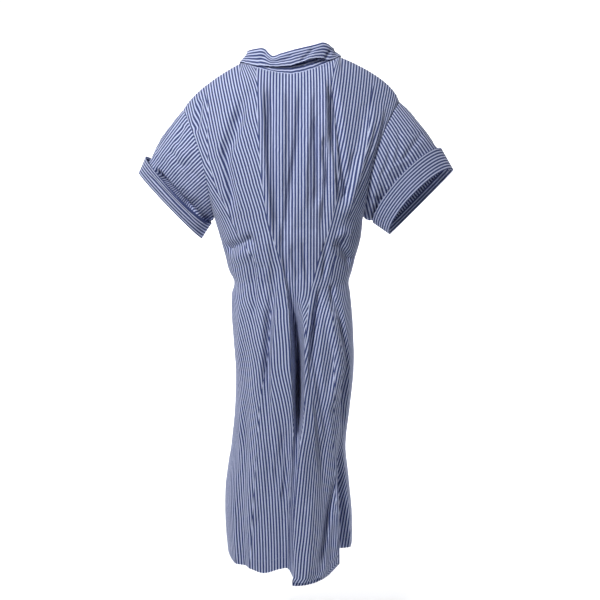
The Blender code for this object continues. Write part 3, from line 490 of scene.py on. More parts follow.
# Creases in the cloth, in millimetres: how deep each is (less than 0 stands out), how far its left
# and right sides reach, and the X and Z of the points along it.
BACK_CREASES = (
    (-9.8, 10, 8, (-58, -43), (-56, -116), (-52, -176), (-48, -237), (-42, -309), (-36, -392)),
    (9.1, 10, 14, (-39, -47), (-35, -116), (-32, -197), (-26, -309), (-20, -381)),
    (9.4, 12, 15, (26, -55), (18, -176), (1, -288), (-11, -371), (-20, -427)),
    (8.6, 8, 8, (54, -120), (56, -197), (55, -278), (53, -323)),
    (-5.9, 8, 8, (65, -120), (67, -197), (67, -278)),
    (-10.4, 14, 8, (71, -43), (81, -166), (88, -227), (98, -309)),
    (9.0, 8, 14, (89, -55), (100, -156), (108, -227), (121, -311)),
    (-6.4, 17, 14, (194, -93), (174, -181), (143, -279), (121, -352)),
    (5.4, 14, 14, (140, -196), (126, -258), (111, -310)),
    (4.8, 15, 15, (-68, -63), (-95, -103), (-118, -152)),
    (4.5, 17, 14, (-96, -115), (-102, -159), (-115, -196)),
    (-3.6, 17, 17, (-131, -104), (-140, -155), (-142, -186)),
    (-4.9, 12, 10, (-149, -175), (-137, -248), (-130, -317)),
    (4.9, 10, 14, (-133, -181), (-123, -252), (-117, -317)),
    (6.4, 11, 10, (-186, -88), (-190, -112), (-197, -160)),
    (13.0, 15, 15, (-139, -407), (-105, -393), (-71, -376)),
    (-5.2, 14, 14, (-126, -430), (-96, -417), (-67, -404)),
    (13.0, 14, 14, (96, -382), (113, -405), (134, -435)),
    (-6.5, 14, 14, (100, -374), (115, -369), (131, -376)),
    (-4.5, 10, 10, (-51, -486), (-53, -528), (-56, -591), (-60, -676)),
    (8.2, 10, 12, (65, -480), (53, -541), (49, -594), (57, -664), (68, -728), (77, -782),
     (81, -836)),
    (7.5, 8, 10, (88, -477), (91, -507), (93, -545)),
    (-12.0, 17, 17, (83, -508), (93, -572), (104, -618), (106, -657), (94, -700), (86, -754)),
    (6.8, 12, 12, (108, -890), (85, -968), (70, -1022), (62, -1081)),
    (3.3, 8, 10, (102, -938), (94, -1004), (90, -1070)),
    (-7.5, 14, 14, (45, -921), (43, -1008), (41, -1084)),
    (7.5, 10, 12, (-10, -773), (-6, -860), (-10, -937)),
    (-4.5, 8, 8, (-25, -784), (-21, -871), (-23, -937)),
    (4.8, 12, 12, (-44, -806), (-44, -937)),
    (4.8, 10, 10, (-55, -955), (-75, -999), (-94, -1032)),
    (4.5, 14, 14, (-92, -573), (-91, -724), (-101, -877)),
    (5.2, 8, 12, (-13, -373), (-11, -419), (-3, -465)),
    (-5.2, 10, 10, (-49, -373), (-45, -427), (-49, -475)),
    (4.9, 8, 10, (-70, -429), (-69, -488), (-75, -547)),
    (4.9, 8, 8, (28, -381), (34, -440), (43, -477)),
    (5.2, 8, 8, (74, -381), (76, -427), (70, -469)),
    (-4.5, 10, 10, (-105, -510), (-108, -596), (-111, -682)),
    (3.6, 7, 8, (-1, -363), (28, -357), (59, -365)),
    (-6.2, 10, 10, (44, -63), (40, -156), (34, -237), (30, -330)),
    (-5.9, 10, 10, (-15, -63), (-11, -156), (-15, -237), (-19, -299)),
    (7.1, 8, 8, (73, -166), (65, -248), (61, -309)),
    (9.0, 22, 34, (72, -777), (74, -928), (69, -1103)),
    (5.9, 10, 12, (-58, -429), (-56, -477), (-58, -530)),
    (5.2, 10, 10, (5, -393), (11, -429), (22, -467)),
    (6.0, 14, 14, (-85, -713), (-81, -811), (-88, -899)),
    (4.5, 15, 15, (-116, -794), (-117, -905), (-113, -1017)),
    (-6.0, 14, 17, (5, -838), (0, -937), (-6, -1070)),
)
SLEEVE_CREASES = {
    "left": (
        (13.0, 9, 10, (-296, -233), (-271, -260), (-248, -284), (-225, -308), (-194, -341)),
        (12.0, 9, 10, (-286, -245), (-263, -269), (-238, -296), (-210, -324)),
        (15.0, 9, 6, (-288, -233), (-269, -254), (-244, -280), (-219, -305), (-196, -331)),
        (3.5, 9, 10, (-223, -143), (-232, -162), (-240, -185)),
        (3.5, 9, 9, (-245, -219), (-224, -231), (-203, -223)),
        (2.8, 8, 8, (-188, -261), (-199, -246), (-216, -240)),
        (-3.5, 14, 14, (-241, -195), (-220, -208), (-198, -195)),
        (-2.8, 15, 15, (-229, -263), (-212, -280), (-197, -301)),
        (2.5, 8, 9, (-258, -195), (-241, -208), (-226, -200)),
    ),
    "right": (
        (2.2, 9, 9, (284, -158), (257, -191), (236, -223)),
        (-3.4, 21, 21, (200, -271), (230, -280), (251, -263)),
        (2.2, 9, 10, (212, -175), (208, -216), (192, -259)),
        (2.2, 8, 9, (229, -149), (231, -187), (221, -229)),
        (2.5, 9, 9, (179, -297), (205, -305), (226, -314)),
    ),
}
# Creases along the cuffs, behind.
CUFF_CREASES = {
    "left": ((3.0, 6, 6, (-302, -242), (-269, -279), (-232, -315), (-202, -347)),),
    "right": ((2.5, 4, 5, (177, -326), (192, -341), (205, -356)),),
}
COLLAR_CREASES = (
    (3.5, 6, 6, (9, -1), (-11, -12), (-36, -16)),
    (3.8, 6, 6, (53, 15), (40, 1), (22, -16)),
    (3.2, 5, 6, (88, 13), (80, 1), (74, -12)),
    (2.6, 5, 5, (-44, 5), (-57, -7), (-69, -12)),
)

# Where the right lobe leans over the cloth beside it: its crest's X at each level, how far it is
# carried towards +X, and how far that reaches to both sides.
OVERHANG = table(
    "z x carry left right",
    (-760, 30, 0, 12, 40), (-820, 30, -8, 12, 46), (-900, 26, -13, 12, 50),
    (-980, 22, -15, 13, 54), (-1120, 22, -15, 14, 56),
)

# Lines down the back where its stripes change their lean, as at a tuck that takes cloth in,
# and the columns that they follow, between the left seam, the middle and the right seam.
BACK_LINES = (
    line(
        (-95, -173), (-196, -170), (-268, -154), (-330, -128), (-382, -103), (-428, -76),
        (-476, -56), (-529, -42), (-614, -50), (-722, -62), (-874, -74), (-1120, -88),
    ),
    line(
        (-38, -69), (-118, -67), (-180, -63), (-250, -59), (-320, -50), (-370, -38), (-420, -20),
        (-455, -12), (-518, -4), (-572, 3), (-657, 8), (-760, 8), (-860, 4), (-940, 0),
        (-1120, -4),
    ),
    line(
        (-38, 3), (-300, 4), (-450, 12), (-560, 15), (-620, 20), (-720, 20), (-800, 18),
        (-870, 11), (-940, 4), (-1120, 0),
    ),
    line(
        (-22, 72), (-95, 87), (-156, 96), (-217, 101), (-299, 99), (-361, 83), (-420, 61),
        (-487, 45), (-550, 36), (-603, 32), (-720, 31), (-800, 28), (-870, 18), (-940, 10),
        (-1120, 6),
    ),
    line(
        (-95, 169), (-176, 158), (-258, 142), (-330, 126), (-392, 109), (-428, 93), (-476, 85),
        (-529, 89), (-614, 93), (-830, 94), (-940, 101), (-1120, 104),
    ),
)
BACK_STATIONS = (0, 47, 121, 154, 194, 248, 300)
# Each gore's first and last column, and the column that its stripes are counted from.
BACK_GORES = {
    "middle": (121, 194, 154),
    "left": (47, 121, 47),
    "outer_left": (0, 47, 47),
    "right": (194, 248, 222),
    "outer_right": (248, 300, 248),
}
# How far the stripes run towards +X for each metre they fall, in each gore from left to right,
# in millimetres.
BACK_LEANS = table(
    "z outer_left left middle right outer_right",
    (10, 220, 160, 0, -100, -180), (-100, 340, 240, 0, -160, -240),
    (-200, 440, 270, 0, -200, -380), (-330, 520, 240, 0, -250, -460),
    (-390, 340, 200, 0, -260, -300), (-430, 120, 180, 0, -260, -200),
    (-500, 180, 130, 0, -260, -240), (-600, 270, 120, 20, -230, -280),
    (-750, 200, 120, 0, -180, -200), (-900, 120, 100, -20, -140, -80),
    (-1000, 80, 60, -20, -120, 0), (-1120, 30, 20, -20, -60, 40),
)
# The fronts' line runs down the tuck; the left one's is its mirror image.
FRONT_LINE = line((-60, 105), (-340, 70), (-480, 60), (-1120, 68))
FRONT_STATIONS = (0, 14, 62, 120)
FRONT_GORES = {"inner": (0, 62, 0), "outer": (62, 120, 62)}
# The same lean on the fronts, towards the side seam: beside the buttons, then beyond the tuck.
FRONT_LEANS = table(
    "z inner outer",
    (10, 0, -100), (-200, 0, -220), (-380, 0, -260), (-480, 0, -40), (-560, 0, 100), (-800, 0, 50),
    (-1120, 0, 20),
)


def smooth(rows, name, at, along="z"):
    """A cubic through a table's rows, each row's slope taken from its neighbours."""
    place, value = rows[along], rows[name]
    if place[0] > place[-1]:
        place, value = place[::-1], value[::-1]
    slope = np.gradient(value, place)
    index = np.clip(np.searchsorted(place, at) - 1, 0, len(place) - 2)
    step = place[index + 1] - place[index]
    t = np.clip((at - place[index]) / step, 0, 1)
    start = (1 + 2 * t) * (1 - t) ** 2 * value[index] + t * (1 - t) ** 2 * step * slope[index]
    end = t * t * (3 - 2 * t) * value[index + 1] - t * t * (1 - t) * step * slope[index + 1]
    return start + end


def ease(t):
    """From 0 to 1 with level ends."""
    t = np.clip(t, 0, 1)
    return t * t * (3 - 2 * t)


def unit(vectors):
    """The same directions at length 1."""
    length = np.linalg.norm(vectors, axis=-1, keepdims=True)
    return vectors / np.maximum(length, 1e-12)


def bezier(start, bend, end, t):
    """A curve from start to end, drawn towards the bend."""
    start, bend, end = (np.array(point) for point in (start, bend, end))
    t = t[..., None]
    return (1 - t) ** 2 * start + 2 * t * (1 - t) * bend + t * t * end


def arc_lengths(points, axis=0):
    """Lengths from a grid's first row or column to each point, from point to point."""
    steps = np.linalg.norm(np.diff(points, axis=axis), axis=-1)
    start = 0 * np.take(steps, [0], axis)
    return np.concatenate([start, np.cumsum(steps, axis)], axis)


def closed_up(grid):
    """A ring's grid with its first column once more at its end."""
    return np.concatenate([grid, grid[:, :1]], axis=1)


def section(z, angle, depth_name):
    """A point of the level section at z; the angle is 0 at the middle and upright at the side."""
    left, right = smooth(SECTIONS, "left", z), smooth(SECTIONS, "right", z)
    depth = smooth(SECTIONS, depth_name, z) * (-1 if depth_name == "back" else 1)
    sine, cosine = np.sin(angle), np.cos(angle)
    power = 2 / SECTION_POWER
    x = (left + right) / 2 + (right - left) / 2 * np.sign(sine) * np.abs(sine) ** power
    return np.stack([x, depth * np.abs(cosine) ** power, z + 0 * x], axis=-1)


def panel(top, bottom, first, last, rounding, t, u):
    """The surface between four edges: top and bottom across u, first and last down t.

    It stands out from its top edge faster than it drops, the more so the smaller its rounding,
    and the shape of its side edges fades out soon inside them.
    """
    t = t[:, None]
    out = np.sin(t * np.pi / 2) ** rounding
    drop = np.stack([t + 0 * out, out, t + 0 * out], axis=-1)
    soft = ease(t / CORNER_DEPTH)[..., None]
    across = (1 - drop) * ((1 - soft) * top + soft * softened(top)) + drop * bottom
    u = u[:, None]
    pull_first = (1 - u) ** EDGE_FADE * (first - across[:, 0])[:, None]
    pull_last = u**EDGE_FADE * (last - across[:, -1])[:, None]
    return across + pull_first + pull_last


def softened(points):
    """A line with its corners rounded off by moving means, its two ends left where they are."""
    half = int(CORNER_SOFTENING * len(points))
    kernel = np.ones(2 * half + 1) / (2 * half + 1)
    for _ in range(SOFTENING_PASSES):
        before = 2 * points[0] - points[half:0:-1]
        after = 2 * points[-1] - points[-2 : -half - 2 : -1]
        padded = np.concatenate([before, points, after])
        means = [np.convolve(padded[:, k], kernel, "valid") for k in range(3)]
        points = np.stack(means, axis=-1)
    return points


def neck_rounding(out):
    """A panel's rounding at a distance from the neck's corner; the shoulder is roundest there."""
    near = np.exp(-((out / NECK_ROUNDING_REACH) ** 2))
    return SHOULDER_ROUNDING + (NECK_ROUNDING - SHOULDER_ROUNDING) * near


def armhole(side, depth, t):
    """The armhole's edge from the shoulder, t = 0, to the underarm, t = 1."""
    start, end = np.array(side["shoulder"]), np.array(side["underarm"])
    curve = start + (end - start) * t[:, None]
    curve[:, 0] -= side["sign"] * side["hollow"] * np.sin(np.pi * t**ARMHOLE_HOLLOW_POWER)
    curve[:, 1] += depth * np.sin(np.pi * t) ** ARMHOLE_DEPTH_POWER
    return curve


def shoulder(side, t):
    """The shoulder seam from the neck, t = 0, to the armhole, t = 1."""
    return bezier(side["neck"], side["bend"], side["shoulder"], t)


def back_neck(v):
    """The back neckline, from the left shoulder seam, v = -1, to the right one, v = 1."""
    left, right = SIDES["left"]["neck"][0], SIDES["right"]["neck"][0]
    sine = np.sin(v * np.pi / 2)
    rise = np.where(v < 0, SIDES["left"]["neck_rise"], SIDES["right"]["neck_rise"])
    x = (left + right) / 2 + (right - left) / 2 * sine
    z = BACK_NECK_Z + rise * np.abs(sine) ** BACK_NECK_POWER
    return np.stack([x, -BACK_NECK_DEPTH * np.cos(v * np.pi / 2), z], axis=-1)


def front_neck(side, t):
    """The front neckline from the shoulder seam, t = 0, to the end of the collar stand, t = 1."""
    mirror = np.array([side["sign"], 1, 1])
    return bezier(side["neck"], mirror * FRONT_NECK_BEND, mirror * FRONT_NECK, t)


def back_base(rows_t, rows_z, q):
    """The back panel without folds; q runs from -1 at the left seam to 1 at the right one."""
    neck_share = NECK_COLUMNS / BACK_COLUMNS
    out = (np.abs(q) - neck_share) / (1 - neck_share)
    left = shoulder(SIDES["left"], np.clip(out, 0, 1))
    right = shoulder(SIDES["right"], np.clip(out, 0, 1))
    neck = back_neck(np.clip(q / neck_share, -1, 1))
    top = np.where((out > 0)[:, None], np.where((q < 0)[:, None], left, right), neck)
    bottom = section(np.full_like(q, UNDERARM_Z), q * np.pi / 2, "back")
    first = armhole(SIDES["left"], -ARMHOLE_BACK, rows_t)
    last = armhole(SIDES["right"], -ARMHOLE_BACK, rows_t)
    upper = panel(top, bottom, first, last, neck_rounding(out), rows_t, (q + 1) / 2)
    bulge = np.sin(np.pi * rows_t**BACK_BULGE_POWER)[:, None]
    upper[..., 1] -= BACK_BULGE * bulge * np.cos(q * np.pi / 2)
    z, angle = np.meshgrid(rows_z, q * np.pi / 2, indexing="ij")
    return np.concatenate([upper, hemmed(section(z, angle, "back"), BACK_HEM)])


def hemmed(lower, hem):
    """Level rows drawn down or up so that the last one follows the hem."""
    share = ease((WAIST_Z - lower[..., 2]) / (WAIST_Z - HEM_Z))
    lower[..., 2] += share * (smooth(hem, "z", lower[..., 0], "x") - HEM_Z)
    return lower


def front_base(side, rows_t, rows_z, q):
    """One front without folds; q runs from 0 at its front edge to 1 at the side seam."""
    neck_share = FRONT_NECK_COLUMNS / FRONT_COLUMNS
    out = (q - neck_share) / (1 - neck_share)
    seam = shoulder(side, np.clip(out, 0, 1))
    neck = front_neck(side, np.clip(1 - q / neck_share, 0, 1))
    top = np.where((out > 0)[:, None], seam, neck)
    bottom = front_section(side, np.array([UNDERARM_Z]), q)[0]
    rounding = neck_rounding(out)
    first = front_edge(top[0], bottom[0], rounding[0], rows_t)
    last = armhole(side, ARMHOLE_FRONT, rows_t)
    upper = panel(top, bottom, first, last, rounding, rows_t, q)
    half_width = abs(side["underarm"][0])
    clear = np.clip((np.abs(upper[..., 0]) - LAP) / (half_width - LAP), 0, 1)
    upper[..., 1] += FRONT_BULGE * np.sin(np.pi * rows_t)[:, None] * np.sin(np.pi * clear) ** 2
    return np.concatenate([upper, hemmed(front_section(side, rows_z, q), FRONT_HEM)])


def front_edge(corner, end, rounding, rows_t):
    """A front's free edge: slanting in from the neck, then straight to the underarm's level."""
    x = np.interp(rows_t, (0, OPEN_FRONT_T), (corner[0], end[0]))
    y = corner[1] + (end[1] - corner[1]) * np.sin(rows_t * np.pi / 2) ** rounding
    z = np.interp(rows_t, (0, OPEN_FRONT_T, 1), (corner[2], OPEN_FRONT_Z, end[2]))
    return np.stack([x, y, z], axis=-1)


def front_section(side, rows_z, q):
    """The level sections of one front, from its lap past the middle to the side seam."""
    z = np.repeat(rows_z[:, None], len(q), axis=1)
    left, right = smooth(SECTIONS, "left", z), smooth(SECTIONS, "right", z)
    reach = (-side["sign"] * LAP - (left + right) / 2) / ((right - left) / 2)
    start = np.sign(reach) * np.arcsin(np.abs(reach) ** (SECTION_POWER / 2))
    angle = start + (side["sign"] * np.pi / 2 - start) * q[None]
    return section(z, angle, "front")


def face_normals(points, closed=False):
    """Each grid point's direction out of the cloth: down its column crossed with its row."""
    if closed:
        wrapped = np.concatenate([points[:, -1:], points, points[:, :1]], axis=1)
        across = np.gradient(wrapped, axis=1)[:, 1:-1]
    else:
        across = np.gradient(points, axis=1)
    return unit(np.cross(np.gradient(points, axis=0), across))


def bump(share):
    """1 in the middle, where the share of the reach is 0, and down to 0: (1 - s^2)^2."""
    return np.clip(1 - share**2, 0, 1) ** 2


def folded(base, folds, rows_t, calm_edges, facing=1):
    """The base surface pushed in by every fold, along its normal times facing.

    A fold's push across the cloth is (1 - s^2)^2, where s is the distance from its middle as a
    share of its reach. Folds fade out below the neckline and beside the seams, beginning at
    each side edge's own distance from it.
    """
    arc = arc_lengths(base, 1)
    depth = np.zeros(arc.shape)
    z = base[..., 2]
    for rows in folds.values():
        place, deep, left, right = (smooth(rows, name, z) for name in list(rows)[1:])
        inside = (z < rows["z"].max()) & (z > rows["z"].min())
        for i, row in enumerate(base):
            centre = np.interp(place[i], *ordered(row[:, 0], arc[i]))
            away = (arc[i] - centre) * np.sign(row[-1, 0] - row[0, 0])
            push = bump(away / np.where(away < 0, left[i], right[i]))
            depth[i] += np.where(inside[i], deep[i] * push, 0)
    first, last = calm_edges
    depth *= ease((arc - first) / SEAM_CALM) * ease((arc[:, -1:] - arc - last) / SEAM_CALM)
    depth[: len(rows_t)] *= ease(rows_t / NECK_CALM)[:, None]
    return base - facing * face_normals(base) * depth[..., None]


def ordered(x, values):
    """The same pairs in the order of their x."""
    order = np.argsort(x)
    return x[order], values[order]


def resampled(points, rows_t, lengths_of):
    """The rows at fewer columns: as designed along the top, and by length from the underarm down.

    A row's lengths along the cloth come from lengths_of(row number, its points, their lengths).
    Values after the first three of each point are carried along with it.
    """
    fine = np.linspace(0, 1, points.shape[1])
    result = []
    for i, row in enumerate(points):
        arc = arc_lengths(row[:, :3])
        lengths = lengths_of(i, row, arc)
        share = ease(rows_t[i] / SETTLED_T) if i < len(rows_t) else 1.0
        designed = np.linspace(0, 1, len(lengths))
        place = (1 - share) * designed + share * np.interp(lengths, arc, fine)
        result.append(np.stack([np.interp(place, fine, value) for value in row.T], axis=-1))
    return np.array(result)


def body_levels():
    """Row places: t down the upper panels, then z from below the underarm to the hem."""
    rows_t = np.linspace(0, 1, UPPER_ROWS + 1) ** ROW_CROWDING
    waist = np.linspace(UNDERARM_Z, FULLNESS_Z, WAIST_ROWS + 1)[1:]
    skirt = np.linspace(FULLNESS_Z, HEM_Z, SKIRT_ROWS + 1)[1:]
    return rows_t, np.concatenate([waist, skirt])


def creased(points, creases, inward=None):
    """The surface pushed in along creases, against its normals or the way that is given.

    The push is depth * (1 - s^2)^2, where s is the distance from the crease's path in X and Z as
    a share of the reach on that side. The depth fades in over the first and the last sixth.
    """
    flat = points[..., [0, 2]]
    push = np.zeros(points.shape[:2])
    for depth, left, right, *path in creases:
        path = np.array(path) / 1000
        runs = np.diff(path, axis=0)
        steps = np.linalg.norm(runs, axis=1)
        best = np.full(push.shape, np.inf)
        dip = np.zeros(push.shape)
        for i, run in enumerate(runs):
            near = np.clip((flat - path[i]) @ run / (run @ run), 0, 1)
            off = flat - path[i] - near[..., None] * run
            away = np.linalg.norm(off, axis=-1)
            turn = off[..., 0] * run[1] - off[..., 1] * run[0]
            # The right side is the one towards +X, whichever way the crease runs.
            reach = np.where(turn * np.sign(run[1] - 1e-9) > 0, right, left) / 1000
            place = (steps[:i].sum() + near * steps[i]) / steps.sum()
            fade = ease(6 * place) * ease(6 - 6 * place)
            dip = np.where(away < best, depth / 1000 * fade * bump(away / reach), dip)
            best = np.minimum(best, away)
        push += dip
    return points + (-face_normals(points) if inward is None else inward) * push[..., None]


def waist_filled(points):
    """The back's hollow at the waist made rounder: outwards by fill * (1 - dz / reach)^2.

    The fill fades towards the sides, by 1 - (x / half width)^2.
    """
    near = np.clip(1 - np.abs(points[..., 2] - WAIST_Z) / WAIST_REACH, 0, 1) ** 2
    middle = np.clip(1 - (points[..., 0] / WAIST_HALF_WIDTH) ** 2, 0, 1)
    return points - np.array([0, WAIST_FILL, 0]) * (near * middle)[..., None]


def overhung(shape, x):
    """A fold carried sideways over the cloth beside it: by carry * (1 - s^2)^2 at s reaches."""
    shape = shape.copy()
    crest, carry, left, right = (
        smooth(OVERHANG, name, shape[..., 2]) for name in ("x", "carry", "left", "right")
    )
    off = x - crest
    shape[..., 0] += carry * bump(off / np.where(off > 0, right, left))
    return shape


def crumpled(points, normals, count, height, seed, calm, scale=1):
    """The surface with many small soft creases of its own, none of them placed by hand.

    Each is a ridge beside a trough: h * (d / w) * exp(-(d / w)^2 - (a / l)^2), where d and a are
    the distances across and along it, w its half width and l its half length.
    """
    draw = np.random.default_rng(seed)
    flat = cloth_places(points)
    low, high = flat.reshape(-1, 2).min(0), flat.reshape(-1, 2).max(0)
    push = np.zeros(points.shape[:2])
    for _ in range(count):
        centre = draw.uniform(low, high)
        angle = draw.normal(np.pi / 2, CRUMPLE_TURN)
        width = scale * draw.uniform(*CRUMPLE_WIDTHS)
        length = scale * draw.uniform(*CRUMPLE_LENGTHS)
        tall = height * draw.uniform(*CRUMPLE_SHARES) * width / CRUMPLE_WIDTH
        off = flat - centre
        along = off[..., 0] * np.cos(angle) + off[..., 1] * np.sin(angle)
        beside = off[..., 1] * np.cos(angle) - off[..., 0] * np.sin(angle)
        across = (beside + draw.normal(0, CRUMPLE_BEND) / scale * along**2) / width
        push += tall * across * np.exp(-(across**2) - (along / length) ** 2)
    return points + normals * (push * calm)[..., None]


def cloth_places(points, closed=False):
    """Each point's place on the flat cloth: its length across its row and down the middle."""
    grid = closed_up(points) if closed else points
    u, v = arc_lengths(grid, 1), arc_lengths(grid)
    middle = grid.shape[1] // 2
    return np.stack([u - u[:, middle, None], v[:, middle, None] + 0 * v], axis=-1)


def striped(points, x_of, gores, leans, sign):
    """Stripe places for each gore, and each face's gore.

    A gore's stripes are parallel. Their place is the length across the cloth from the gore's
    own column, times the cosine of their lean, plus what that column crosses going down. At
    the top each gore's stripes meet those of the gore before it.
    """
    places = cloth_places(points)[..., 0]
    direction = np.sign(x_of[0, -1] - x_of[0, 0])
    z = points[:, points.shape[1] // 2, 2]
    result = []
    faces = np.zeros((points.shape[0] - 1, points.shape[1] - 1), int)
    for number, (name, (first, last, column)) in enumerate(gores.items()):
        lean = smooth(leans, name, z) * sign
        cosine = 1 / np.sqrt(1 + lean**2)
        crossed = np.gradient(x_of[:, column]) + lean * np.gradient(z)
        drift = np.cumsum(crossed * cosine)
        away = (places - places[:, column, None]) * cosine[:, None]
        stripes = away * direction + drift[:, None]
        for other, ends in enumerate(list(gores.values())[:number]):
            for edge in {first, last} & set(ends[:2]):
                stripes += result[other][0, edge] - stripes[0, edge]
        result.append(stripes)
        faces[:, first:last] = number
    return np.array(result), faces


def station_places(row, arc, z, lines, stations, sign=1):
    """Where each column lies along the cloth: evenly between stations that keep to their lines."""
    at = [
        np.interp(sign * np.interp(-z, -rows["z"], rows["x"]), *ordered(row[:, 3], arc))
        for rows in lines
    ]
    ends = np.maximum.accumulate([0, *at, arc[-1]])
    return np.interp(np.arange(stations[-1] + 1), stations, ends)


def fine_back(rows_t, rows_z):
    """The back panel with its folds, and each point's X before folding."""
    base = back_base(rows_t, rows_z, np.linspace(-1, 1, FINE_COLUMNS))
    level = base[:, FINE_COLUMNS // 2, 2]

    def lengths(i, row, arc):
        return station_places(row, arc, level[i], BACK_LINES, BACK_STATIONS)

    shape = overhung(folded(base, BACK_FOLDS, rows_t, (0, 0)), base[..., 0])
    return resampled(np.concatenate([shape, base[..., :1]], axis=-1), rows_t, lengths)


def fine_front(name, rows_t, rows_z):
    """One front with its folds, from its edge to the side seam, and each point's X unfolded."""
    side = SIDES[name]
    base = front_base(side, rows_t, rows_z, np.linspace(0, 1, FINE_COLUMNS))
    level = base[:, FINE_COLUMNS // 2, 2]
    lapped = 2 * LAP
    shape = folded(base, FRONT_FOLDS, rows_t, (lapped, 0), -side["sign"])

    def lengths(i, row, arc):
        lap = {"z": FRONT_LINE["z"], "x": 0 * FRONT_LINE["z"] + side["sign"] * row[0, 3] + lapped}
        return station_places(row, arc, level[i], (lap, FRONT_LINE), FRONT_STATIONS, side["sign"])

    grid = resampled(np.concatenate([shape, base[..., :1]], axis=-1), rows_t, lengths)
    if name == "left":
        under = ease((grid[..., 0] + 2 * LAP_FADE) / LAP_FADE)
        below = ease((OPEN_FRONT_Z + 2 * LAP_FADE - grid[..., 2]) / LAP_FADE)
        grid[..., 1] -= LAP_DEPTH * under * below
    return grid


@functools.cache
def body():
    """The three body panels before their fine relief: points, and each one's X before folding."""
    rows_t, rows_z = body_levels()
    panels = {"back": fine_back(rows_t, rows_z)}
    for name in ("left", "right"):
        panels[name] = fine_front(name, rows_t, rows_z)
    return {name: (grid[..., :3], grid[..., 3]) for name, grid in panels.items()}


def seam_distance(points, sides):
    """Each point's distance along the cloth to the nearest of the named edges."""
    u, v = cloth_places(points)[..., 0], arc_lengths(points)
    far = {"first": u - u[:, :1], "last": u[:, -1:] - u, "top": v, "bottom": v[-1:] - v}
    return np.min([far[side] for side in sides], axis=0)


def seam_sunk(points, normals, sides):
    """Sewn edges sunk into a narrow groove: depth * (1 - d / width)^2 at distance d."""
    away = seam_distance(points, sides)
    dip = np.clip(1 - away / SEAM_GROOVE_WIDTH, 0, 1) ** 2
    return points - normals * (SEAM_GROOVE * dip)[..., None]


def puckered(points, normals, away, width, seed):
    """Small gathers beside a line of stitching: waves along it that fade within a width of it."""
    draw = np.random.default_rng(seed)
    turns = 2 * np.pi * cloth_places(points)[..., 0]
    wave = sum(
        draw.uniform(0.5, 1) * np.sin(turns / draw.uniform(*PUCKER_LENGTHS) + draw.uniform(0, 6.3))
        for _ in range(PUCKER_WAVES)
    )
    return points + normals * (PUCKER * wave * np.exp(-((away / width) ** 2)))[..., None]


def hem_puckered(points, normals, seed):
    """Gathers along the hem's stitching."""
    away = seam_distance(points, ("bottom",)) - HEM_DEPTH
    return puckered(points, normals, away, HEM_PUCKER_WIDTH, seed)


@functools.cache
def back_surface():
    """The back panel, creased, crumpled and gathered, its sewn edges sunk.

    Its creases go straight in, and turn sideways near the seams by (x / the row's widest x)^5.
    """
    points, x = body()["back"]
    sideways = (x / np.abs(x).max(axis=1, keepdims=True)) ** SIDE_TURN_POWER
    inward = np.stack([-sideways, np.sqrt(1 - sideways**2), 0 * x], axis=-1)
    points = creased(waist_filled(points), BACK_CREASES, inward)
    normals = face_normals(points)
    sewn = ("first", "last", "top")
    edge = seam_distance(points, sewn)
    points = crumpled(points, normals, BACK_CRUMPLES, CRUMPLE, 11, ease(edge / SEAM_FADE))
    points = hem_puckered(points, normals, 5)
    points = puckered(points, normals, edge, SEAM_PUCKER_WIDTH, 6)
    return seam_sunk(points, normals, sewn)


@functools.cache
def front_surface(name):
    """One front, draped, crumpled and gathered, its sewn edges sunk."""
    points, _ = body()[name]
    side = SIDES[name]
    normals = face_normals(points) * -side["sign"]
    sewn = ("last", "top")
    edge = seam_distance(points, ("first", "last", "top"))
    calm = ease((edge - FRONT_CALM[0]) / FRONT_CALM[1])
    count, scale = FRONT_DRAPES
    points = crumpled(points, normals, count, DRAPE, 41 + side["draw"], calm, scale)
    points = crumpled(points, normals, FRONT_CRUMPLES, CRUMPLE, 21 + side["draw"], calm)
    points = hem_puckered(points, normals, 7)
    points = puckered(points, normals, seam_distance(points, sewn), SEAM_PUCKER_WIDTH, 8)
    return seam_sunk(points, normals, sewn)


def cuff_loop(side, which, angles):
    """A sleeve's ring at its cuff: an ellipse whose long axis joins its outer and inner corner."""
    outer, inner = np.array(side[f"{which}_outer"]), np.array(side[f"{which}_inner"])
    centre = (outer + inner) / 2
    hang = unit(np.array(side["cuff_end_outer"]) - side["cuff_top_outer"])
    shares = np.stack([np.cos(angles), np.sin(angles)], axis=-1)
    back = np.array([0, -SLEEVE_HALF_DEPTH, 0]) - hang * side["back_rise"]
    front = np.array([0, SLEEVE_HALF_DEPTH, 0]) + hang * side["front_drop"]
    across = np.where((shares[:, 1] > 0)[:, None], back, front)
    return centre + shares[:, :1] * (outer - centre) + np.abs(shares[:, 1:]) * across


@functools.cache
def sleeve_base(name):
    """Rings from the armhole, down to the cuff's upper edge and on to the sleeve's end.

    Between those they run straight, and swell out by swell * sin(pi t) from the armhole down.
    """
    side = SIDES[name]
    back = back_surface()[: UPPER_ROWS + 1, 0 if name == "left" else -1]
    front = front_surface(name)[: UPPER_ROWS + 1, -1]
    angles = -side["sign"] * np.arange(2 * UPPER_ROWS) * np.pi / UPPER_ROWS
    down, up = (back, front) if name == "left" else (front, back)
    first = np.concatenate([down, up[-2:0:-1]])
    middle, last = cuff_loop(side, "cuff_top", angles), cuff_loop(side, "cuff_end", angles)
    upper = np.linspace(0, 1, SLEEVE_ROWS + 1)[:, None, None] ** SLEEVE_CROWDING
    lower = np.linspace(0, 1, CUFF_ROWS + 1)[1:, None, None]
    outward = face_normals(np.stack([first, middle]), True)[:1]
    swollen = first + (middle - first) * upper + outward * SLEEVE_SWELL * np.sin(np.pi * upper)
    rings = np.concatenate([swollen, middle + (last - middle) * lower])
    return np.roll(rings, UPPER_ROWS, axis=1)


